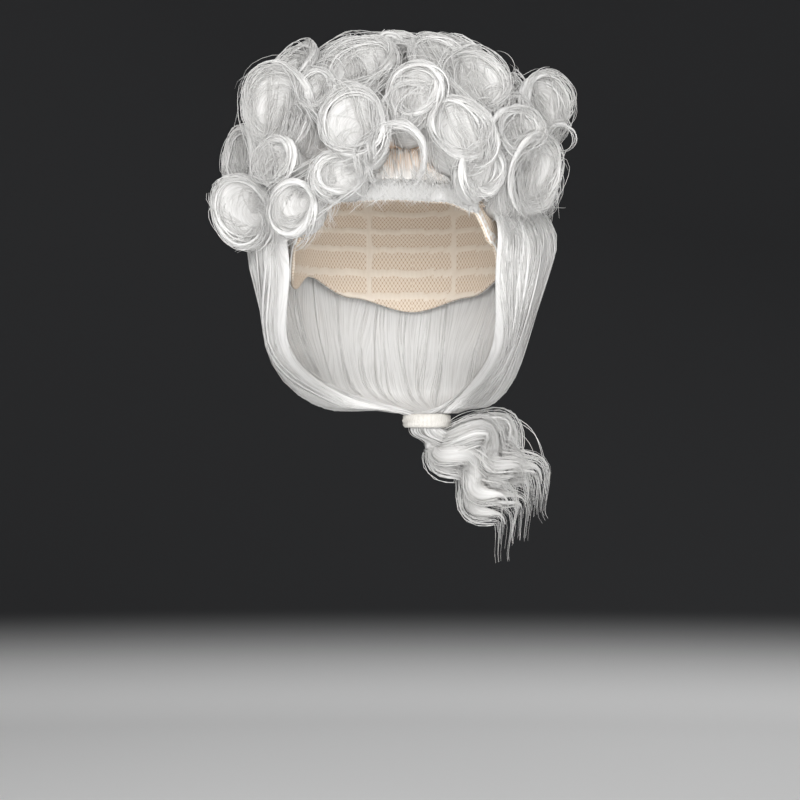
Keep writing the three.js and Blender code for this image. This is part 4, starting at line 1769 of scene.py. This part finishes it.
@dataclass
class Wefts:
    """Rows of short hair sewn to the cap, each row lapping the next, and hairs lying down them."""

    rows: int = 4
    lap: float = 2.4 * MM
    top: float = 85.0
    columns: int = 150
    hairs: int = 400
    rng: Rng = field(default_factory=lambda: np.random.default_rng(31))

    def level(self, azimuth: Array, share: Array) -> Array:
        """Elevation a share of the way from the top to the sewn line."""
        return mix(self.top, HEAD.elevation_at(edge_at("sewn", azimuth)), share)

    def lift(self, share: Array) -> Array:
        """Thickness of the rows: each thinner than the last, thickest at its own lower edge.

        Args:
            share: Share of the way from the top to the sewn line.

        Returns:
            Thickness in metres.
        """
        row = np.clip(np.floor(share * self.rows), 0, self.rows - 1)
        inside = share * self.rows - row
        thick = mix(LAYERS.weft_crown, LAYERS.weft_hairline, (row + 1) / self.rows)
        return thick - self.lap * (1 - np.clip(inside / 0.9, 0, 1))

    def patch(self) -> Patch:
        """Lapped wall over the cap, then the hairs, most of them towards the brow.

        The wall is the head's form grown by the rows' thickness outside and by their seat inside. Each hair
        runs down one row and a little past it.

        Returns:
            The patch.
        """
        inner = LAYERS.cap_wall + LAYERS.weft_seat
        azimuth = np.linspace(-180, 180, self.columns, endpoint=False)[None, :]
        within = np.array([0.0, 0.1, 0.3, 0.5, 0.7, 0.85, 0.95, 0.995])
        outside = ((np.arange(self.rows)[:, None] + within) / self.rows).reshape(-1, 1)
        inside = np.linspace(1, 0, 14)[:, None]
        share = np.concatenate([outside, inside])
        offset = np.concatenate([inner + self.lift(outside), np.full_like(inside, inner)])
        rings = HEAD.point(azimuth, self.level(azimuth, share), offset)
        across = np.linspace(-180, 180, self.columns + 1) * 1.5 * MM
        bare = np.repeat(np.linspace(0.15, 1.0, self.rows), len(within))
        tone = np.concatenate([1 - bare * (1 - np.tile(within, self.rows)), np.ones(14)])[None, :, None]
        wall = skin(rings[None], across, share[None] * 0.15, tone, Ends.POLE)

        clumps = Clumps(self.hairs, 60, self.rng)
        step = stages(9)
        row = self.rng.integers(0, self.rows, (self.hairs, 1))
        side = np.sign(clumps.free(-1, 1))
        home = 180 * side * clumps.free(0, 1) ** 1.8
        place = np.clip((row + mix(0.03, clumps.free(0.85, 1.2), step)) / self.rows, 0, 0.999)
        turn = home + clumps.draw(-1.5, 1.5, 1.0) * step + clumps.draw(-2, 2, 1.2) * step**2
        rise = self.lift(place) + clumps.free(0.2, 1.4) * MM * np.sin(math.pi * step)
        centre = HEAD.point(turn, self.level(turn, place), inner + rise)
        outward = HEAD.direction(turn, self.level(turn, place))
        half = clumps.free(0.12, 0.24) * MM
        return Patch.joined([wall, hairs(centre, outward, half, np.full(self.hairs, 1.0), self.rng)])

    def build(self, material: Material) -> None:
        """Dress the wefts."""
        dressed("sewn_wefts", self.patch(), material, Slot.HAIR, ["wefts"])


@dataclass
class Fringe:
    """Lowest weft over the brow: a soft wall whose loose hairs make the hairline."""

    half_span: float = 50.0
    overhang: float = 3 * MM
    root: float = 3 * MM
    body: float = 6.5 * MM
    end: float = 2.5 * MM
    columns: int = 90
    rows: int = 10
    wisp_azimuth: float = -31.0
    tab_side: float = 42.0
    brow_hairs: int = 440
    wisp_hairs: int = 22

    def place(self, azimuth: Array, share: Array, lift: Array) -> Array:
        """Points of the fringe.

        Args:
            azimuth: Azimuths.
            share: Share of the way from the sewn line to the fringe's ends.
            lift: Height off the band in metres.

        Returns:
            Points of shape (..., 3).
        """
        seat = LAYERS.cap_wall + LAYERS.band_wall + 3 * LAYERS.gap
        top = edge_at("sewn", azimuth) - 2 * LAYERS.gap
        height = mix(top, edge_at("rim", azimuth) - self.overhang, share)
        return HEAD.point(azimuth, HEAD.elevation_at(height), seat + lift)

    def wall(self, share: Array) -> Array:
        """Thickness of the fringe: fullest half way down."""
        hump = np.sin(math.pi * np.clip(share, 0, 1))
        return mix(self.root, self.end, np.clip(share, 0, 1)) + (self.body - self.root) * hump

    def core(self) -> Patch:
        """Wall of the fringe with small rounded locks across it.

        Returns:
            The patch.
        """
        azimuth = np.linspace(-self.half_span, self.half_span, self.columns)[:, None]
        share = stages(self.rows)
        strip = (azimuth + 2.0 * np.sin(0.4 * azimuth + 4 * share)) / 4.0
        edge = smooth(self.half_span - np.abs(azimuth), -1.0, 3.0)
        body = mix(0.5, 0.75, humps(strip))
        lift = self.wall(share) * edge * body * mix(0.7, 1.0, smooth(share, 0, 0.35))
        ragged = share * (0.84 - 0.1 * np.sin(1.9 * azimuth) ** 2)
        outer, inner = self.place(azimuth, ragged, lift), self.place(azimuth, ragged, 0.0 * share)
        loop = np.concatenate([inner, outer[:, ::-1]], axis=1)[None]
        along = np.concatenate([share[0], share[0, ::-1], share[0, :1]]) * 20 * MM
        across = (azimuth * 1.7 * MM)[None]
        return skin(loop, across, along[None, None], 0.75, Ends.ZIP)

    def strewn(self, clumps: Clumps, home: Array, end: Array, lean: Array) -> Patch:
        """Hairs that start under the curls, lean aside and curve in at their tips.

        Args:
            clumps: The hairs' clumps.
            home: Azimuth where each starts.
            end: Share of the fringe's depth where each ends.
            lean: Degrees by which each leans.

        Returns:
            The patch.
        """
        step = stages(11)
        swing = lean * step**1.3 + clumps.draw(-4, 4, 2.0) * np.sin(math.pi * step)
        azimuth = np.clip(home + swing, -self.half_span, self.tab_side)
        place = mix(clumps.free(-0.8, -0.05), end, step)
        rise = clumps.free(0.0, 3.0) * MM * np.sin(math.pi * step**0.8) + clumps.wave(step, 0.3 * MM)
        centre = self.place(azimuth, place, self.wall(place) * 0.85 + rise)
        outward = HEAD.direction(azimuth, 0.0 * step)
        return clumps.hairs(centre, outward, (0.16, 0.3), 0.85)

    def build(self, material: Material) -> None:
        """Dress the fringe and the wisp that hangs from it.

        Args:
            material: Finish of the hair.
        """
        rng = np.random.default_rng(41)
        many, few = Clumps(self.brow_hairs, 60, rng), Clumps(self.wisp_hairs, 3, rng)
        span = self.half_span - 2
        brow = (many.draw(-span, span, 2.2), many.draw(0.72, 1.05, 0.12), many.draw(-11, 11, 4.0))
        parts = [self.core(), self.strewn(many, *brow)]
        wisp = (self.wisp_azimuth + few.draw(-2, 2, 1.0), few.draw(1.7, 2.1, 0.15), few.draw(1, 4, 1.0))
        parts.append(self.strewn(few, *wisp))
        dressed("brow_fringe", Patch.joined(parts), material, Slot.HAIR, ["fringe"])


@dataclass
class NetCap:
    """Net cap: one wall over the crown, with the sewn rows and the two seams standing proud inside it."""

    top: float = 84.0
    columns: int = 132
    inside_rows: int = 90
    outside_rows: int = 10
    row_pitch: float = 13 * MM
    row_width: float = 3.4 * MM
    seam: float = 31 * MM
    seam_width: float = 5 * MM
    proud: float = 0.7 * MM

    def patch(self) -> Patch:
        """Inside from the top to the rim, then outside back to the top, closed at both tops.

        The inside steps inwards over each sewn row, a narrow band at every pitch of height measured
        along the wall, and over the two seams, which run from brow to nape.

        Returns:
            The patch.
        """
        azimuth = np.linspace(-180, 180, self.columns, endpoint=False)[None, :]
        rim = HEAD.elevation_at(edge_at("rim", azimuth))
        inside = np.linspace(0, 1, self.inside_rows)[:, None]
        outside = np.linspace(1, 0, self.outside_rows)[:, None]
        level = mix(self.top, rim, np.concatenate([inside, outside]))
        length = np.radians(90 - level) * HEAD.crown
        row = np.abs((length / self.row_pitch) % 1.0 - 0.5) * self.row_pitch
        aside = np.abs(np.abs(HEAD.point(azimuth, level, 0.0)[..., 0]) - self.seam)
        soft = 0.5 * MM
        sewn = 1 - smooth(row, self.row_width / 2, self.row_width / 2 + soft)
        tape = np.maximum(sewn, 1 - smooth(aside, self.seam_width / 2, self.seam_width / 2 + soft))
        tape = tape * smooth(length, 0.03, 0.035)
        tape[self.inside_rows:] = 0.0
        within = np.arange(len(level))[:, None] < self.inside_rows
        offset = np.where(within, -self.proud * tape, LAYERS.cap_wall)
        rings = HEAD.point(azimuth, level, offset)
        across = np.linspace(-180, 180, self.columns + 1) * 1.5 * MM
        along = np.concatenate([length, length[:, :1]], axis=1)[None]
        return skin(rings[None], across, along, tape[None], Ends.POLE)

    def build(self, material: Material) -> None:
        """Dress the cap."""
        dressed("net_cap", self.patch(), material, Slot.NET, ["cap_middle", "cap_left", "cap_right"])


@dataclass
class EdgeBand:
    """White elastic lace round the cap's rim, its lower edge in small scallops."""

    columns: int = 420
    scallop: float = 0.7 * MM
    pitch: float = 5.0 * MM

    def patch(self) -> Patch:
        """Flat rounded section carried round the rim and joined to itself.

        Returns:
            The patch.
        """
        azimuth = np.linspace(-180, 180, self.columns, endpoint=False)
        inner = LAYERS.cap_wall + LAYERS.gap
        place = np.array([0.0, 0.0, 0.05, 0.35, 0.65, 0.95, 1.0, 1.0, 0.65, 0.35])
        outward = np.array([0.1, 0.6, 1.0, 0.85, 0.85, 1.0, 0.6, 0.1, 0.0, 0.0])
        rim = edge_at("rim", azimuth)[:, None]
        line = HEAD.point(azimuth[:, None], HEAD.elevation_at(rim), inner)[:, 0]
        length = np.linalg.norm(np.diff(line, axis=0, append=line[:1]), axis=1).cumsum()
        wave = np.abs(np.sin(math.pi * length / self.pitch))[:, None]
        height = rim + LAYERS.band_width * place + self.scallop * (1 - wave) * (1 - place)
        offset = inner + LAYERS.band_wall * outward
        rings = HEAD.point(azimuth[:, None], HEAD.elevation_at(height), offset)
        across = np.append(place, place[0]) * LAYERS.band_width
        return skin(rings[None], across, length[None, :, None], place[None, None], Ends.LOOP)

    def build(self, material: Material) -> None:
        """Dress the band."""
        dressed("lace_band", self.patch(), material, Slot.ELASTIC, ["edge_band"])


@dataclass
class TieBand:
    """Ribbed elastic round the gathered hair, puckered all round."""

    middle: Triple = (12 * MM, 78 * MM, -219.35 * MM)
    bore: float = 13 * MM
    wall: float = 5 * MM
    width: float = 10 * MM

    def patch(self) -> Patch:
        """Rounded section carried round a circle, its outside in three wraps and fine puckers.

        Returns:
            The patch.
        """
        turn = np.linspace(0, 2 * math.pi, 180, endpoint=False)[:, None]
        section = np.linspace(0, 2 * math.pi, 30, endpoint=False)[None, :]
        outside = np.maximum(np.cos(section), 0)
        pucker = 1 - 0.2 * np.abs(np.sin(31 * turn + 2 * np.sin(section))) * outside
        wraps = 1 - 0.3 * outside * (1 - np.abs(np.sin(1.5 * math.pi * (np.sin(section) + 1))))
        reach = self.bore + self.wall / 2 + self.wall / 2 * np.cos(section) * pucker * wraps
        rise = self.width / 2 * np.sin(section)
        rings = np.stack([
            self.middle[0] + reach * np.cos(turn),
            self.middle[1] + reach * np.sin(turn),
            np.broadcast_to(self.middle[2] + rise, reach.shape),
        ], axis=-1)
        across = np.linspace(0, 24 * MM, 31)
        along = (turn * (self.bore + self.wall))[None]
        return skin(rings[None], across, along, 0.5, Ends.LOOP)

    def build(self, material: Material) -> None:
        """Dress the tie."""
        dressed("elastic_tie", self.patch(), material, Slot.ELASTIC, ["tie_band"])


@dataclass
class LooseHairs:
    """Loose hairs over the crown.

    Single hairs that stand off the mass in hooks and arcs, wisps that lie over it, two sparse loops at the
    left, and wisps that run from curl to curl.
    """

    singles: int = 250
    length: Pair = (14 * MM, 38 * MM)
    bridge_hairs: int = 8
    reaches: int = 2
    joined: int = 27
    rings: tuple[tuple[float, float, float, float], ...] = ((114, -22, -24, 10), (104, -30, -63, 9))
    ring_hairs: int = 8
    wisps: int = 44
    wisp_hairs: int = 8
    wisp_radius: Pair = (10 * MM, 24 * MM)
    curls: CrownCurls = field(default_factory=CrownCurls)
    rng: Rng = field(default_factory=lambda: np.random.default_rng(51))

    def arcs(self) -> Patch:
        """Arcs that leave the mass and bend round to one side.

        They run out with the sine of the path's share, and sideways with one less its cosine. Hairs in front
        and behind are shorter.

        Returns:
            The patch.
        """
        clumps = Clumps(self.singles, 130, self.rng)
        share = stages(13)
        azimuth = clumps.draw(-180, 180, 2.0)
        elevation = np.degrees(np.arcsin(np.clip(clumps.draw(-0.2, 0.95, 0.02), -1, 1)))
        root = self.curls.mass.point(azimuth, elevation)
        out = HEAD.direction(azimuth, elevation)
        side = unit(np.cross(out, self.rng.normal(0, 1, out.shape)))
        turn = folded(azimuth)
        shorter = mix(0.55, 1.0, smooth(turn, 30, 70)) * mix(1.0, 0.55, smooth(turn, 80, 130))
        length = clumps.free(*self.length) * shorter
        bend = clumps.free(1.4, 3.6)
        reach = length * np.sin(bend * share) / bend
        slip = length * (1 - np.cos(bend * share)) / bend
        centre = root + out * reach[..., None] + side * slip[..., None]
        outward = np.broadcast_to(np.cross(out, side), centre.shape)
        return clumps.hairs(centre, outward, (0.14, 0.25), 0.8)

    def ring(self, x: float, y: float, z: float, radius: float) -> Patch:
        """Sparse loop of hairs: circles of nearly one size that face the front, each a little askew.

        Args:
            x: Middle in mm.
            y: Middle in mm.
            z: Middle in mm.
            radius: Radius in mm.

        Returns:
            The patch.
        """
        clumps = Clumps(self.ring_hairs, self.ring_hairs, self.rng)
        step = stages(20)
        clock = clumps.free(2.5, 4.5) + clumps.free(3.5, 6.0) * step
        size = radius * (clumps.free(0.8, 1.05) + clumps.wave(step, 0.06))
        askew = size * clumps.free(-0.4, 0.4) * np.cos(clock)
        centre = np.stack([x + size * np.sin(clock), y + askew, z + size * np.cos(clock)], axis=-1) * MM
        outward = np.broadcast_to(np.array([0.0, -1.0, 0.0]), centre.shape)
        return clumps.hairs(centre, outward, (0.16, 0.3), 0.75)

    def bridge(self, first: Curl, second: Curl, crossing: bool) -> Patch:
        """Wisp from one curl's rim to another's: a smooth curve through three points of either rim.

        Args:
            first: Curl where it starts.
            second: Curl where it ends.
            crossing: Whether it crosses between the rims and winds the other way round the second one.

        Returns:
            The patch.
        """
        clumps = Clumps(self.bridge_hairs, 1, self.rng)
        hand = math.copysign(math.pi, self.rng.uniform(-1, 1))
        shift = clumps.draw(-0.25, 0.25, 0.3)
        leaving = self.curls.towards(first, second) + hand * np.array([0.95, 0.65, 0.38]) + shift
        after = np.array([0.38, 0.65, 0.95]) if crossing else np.array([-0.5, -0.75, -1.0])
        entering = self.curls.towards(second, first) + hand * after + shift
        reach, lift = clumps.draw(0.75, 1.0, 0.13), clumps.draw(0.0, 2.0, 1.0) * MM
        points = [
            self.curls.coil(curl, *np.broadcast_arrays(clock, reach, 0.0, lift))
            for curl, clock in ((first, leaving), (second, entering))
        ]
        controls = np.moveaxis(np.concatenate(points, axis=1), 1, 0)[:, :, None]
        share = mix(clumps.free(0.0, 0.12), clumps.free(0.84, 1.0), stages(18))
        centre = spline(controls, share)
        outward = unit(centre - np.array(self.curls.mass.middle))
        return clumps.hairs(centre, outward, (0.16, 0.3), 0.7)

    def across(self) -> Patch:
        """Wisps over the mass: arcs of a circle in azimuth and height, highest half way along.

        Returns:
            The patch.
        """
        clumps = Clumps(self.wisps * self.wisp_hairs, self.wisps, self.rng)
        step = stages(12)
        azimuth = clumps.draw(-80, 80, 1.2)
        elevation = np.degrees(np.arcsin(clumps.draw(0.3, 0.88, 0.015)))
        start = clumps.draw(-1.0, 1.0, 0.2)
        clock = start + clumps.draw(1.8, 3.2, 0.2) * (step - 0.5)
        radius = clumps.draw(*self.wisp_radius, 1.2 * MM)
        span = 100 * MM
        girth = span * np.maximum(np.cos(np.radians(elevation)), 0.35)
        turn = azimuth + np.degrees(radius * np.sin(clock) / girth)
        rise = elevation + np.degrees(radius * np.cos(clock) / span)
        lift = mix(-1.0, clumps.draw(8.0, 14.0, 0.8), np.sin(math.pi * step)) * MM
        lift = lift + clumps.wave(step, 0.5 * MM)
        out = HEAD.direction(turn, rise)
        centre = self.curls.mass.point(turn, rise) + out * lift[..., None]
        return clumps.hairs(centre, out, (0.14, 0.26), 0.85)

    def bridges(self) -> list[Patch]:
        """Wisps from every ring in front and on top to those next to it, by turns crossing over and not.

        Returns:
            One patch to each wisp.
        """
        curls = [curl for curl in self.curls.all_curls()[:self.joined] if not curl.open]
        spots = np.array([(curl.x, curl.y, curl.z) for curl in curls])
        apart = np.linalg.norm(spots[:, None] - spots[None], axis=-1)
        near = np.argsort(apart, axis=1)[:, 1:1 + self.reaches]
        return [
            self.bridge(curls[first], curls[second], number % 2 == 0)
            for first, others in enumerate(near) for number, second in enumerate(others)
        ]

    def build(self, material: Material) -> None:
        """Dress the loose hairs, which stand for no node.

        Args:
            material: Finish of the hair.
        """
        parts = [self.arcs(), self.across()] + [self.ring(*ring) for ring in self.rings]
        parts += self.bridges()
        dressed("loose_hairs", Patch.joined(parts), material, Slot.HAIR)


@dataclass(frozen=True)
class Lamp:
    """Soft square light that faces the wig: where it stands, its side and its power."""

    name: str
    at: Triple
    side: float
    power: float


@dataclass
class Studio:
    """Camera at the photograph's angle, soft lights, and a round sweep of pale floor and dark wall."""

    aim: Triple = (0.0, 0.0, -0.2044)
    azimuth: float = 5.5
    distance: float = 2.2
    lens: float = 141.4
    sensor: float = 36.0
    floor: float = -0.62
    radius: float = 2.75
    corner: float = 0.9
    wall_top: float = 3.0
    board: float = 0.03
    columns: int = 96
    lit: Triple = (0.0, 0.0, -0.1)
    sky: Colour = (0.95, 0.95, 0.95, 1)
    sky_strength: float = 0.32
    lamps: tuple[Lamp, ...] = (
        Lamp("key", (-0.5, -2.4, 0.35), 1.6, 67.0),
        Lamp("fill", (0.95, -2.25, 0.0), 1.6, 67.0),
        Lamp("top", (0.0, -0.3, 1.5), 1.2, 8.0),
        Lamp("back", (0.5, 2.0, 1.1), 1.6, 14.0),
    )

    def sweep(self, material: Material) -> None:
        """Round dish: level floor, a quarter round, then an upright wall, with an outside to match.

        Args:
            material: Finish of the sweep.
        """
        bend = np.linspace(0, math.pi / 2, 10)
        rounded = np.stack([
            self.radius - self.corner + self.corner * np.sin(bend),
            self.floor + self.corner * (1 - np.cos(bend)),
        ], axis=-1)
        level = np.array([[0.02, self.floor], [0.6, self.floor], [1.2, self.floor]])
        inside = np.concatenate([level, rounded, np.array([[self.radius, self.wall_top]])])
        outside = inside[::-1] + np.array([self.board, -self.board])
        profile = np.concatenate([inside, outside])
        turn = np.linspace(0, 2 * math.pi, self.columns, endpoint=False)
        rings = np.stack([
            profile[:, :1] * np.cos(turn),
            profile[:, :1] * np.sin(turn),
            np.broadcast_to(profile[:, 1:], (len(profile), self.columns)),
        ], axis=-1)
        patch = skin(rings[None], 0.0, 0.0, 0.0, Ends.POLE)
        placed("sweep", patch, material)

    def build(self, material: Material) -> None:
        """Set the camera, lights, world and sweep.

        Args:
            material: Finish of the sweep.
        """
        scene = bpy.context.scene
        aim = Vector(self.aim)
        turn = math.radians(self.azimuth)
        eye = aim + Vector((math.sin(turn), -math.cos(turn), 0.0)) * self.distance
        camera = bpy.data.cameras.new("camera")
        camera.lens, camera.sensor_width = self.lens, self.sensor
        camera.clip_end = 50.0
        view = bpy.data.objects.new("camera", camera)
        view.location = eye
        view.rotation_euler = (aim - eye).to_track_quat("-Z", "Y").to_euler()
        scene.collection.objects.link(view)
        scene.camera = view
        for lamp in self.lamps:
            light = bpy.data.lights.new(lamp.name, "AREA")
            light.size, light.energy = lamp.side, lamp.power
            stand = bpy.data.objects.new(lamp.name, light)
            stand.location = lamp.at
            way = Vector(self.lit) - Vector(lamp.at)
            stand.rotation_euler = way.to_track_quat("-Z", "Y").to_euler()
            scene.collection.objects.link(stand)
        world = bpy.data.worlds.new("studio")
        world.use_nodes = True
        sky = world.node_tree.nodes["Background"]
        sky.inputs["Color"].default_value = self.sky
        sky.inputs["Strength"].default_value = self.sky_strength
        scene.world = world
        scene.view_settings.view_transform = "Standard"
        self.sweep(material)


def main() -> None:
    """Build the studio and every piece of the wig in order."""
    logging.basicConfig(level=logging.INFO, format="%(name)s: %(message)s")
    Studio().build(RoomFinish().material())
    hair = HairFinish().material()
    NetCap().build(NetFinish().material())
    EdgeBand().build(LaceFinish().material())
    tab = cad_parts["temple_tab"]
    tab.data.materials.clear()
    tab.data.materials.append(TapeFinish().material())
    Wefts().build(WeftFinish().material())
    Fringe().build(hair)
    CrownCurls().build(hair)
    TiedHair().build(hair)
    TieBand().build(RibFinish().material())
    Queue().build(hair)
    LooseHairs().build(hair)


if __name__ == "__main__":
    main()
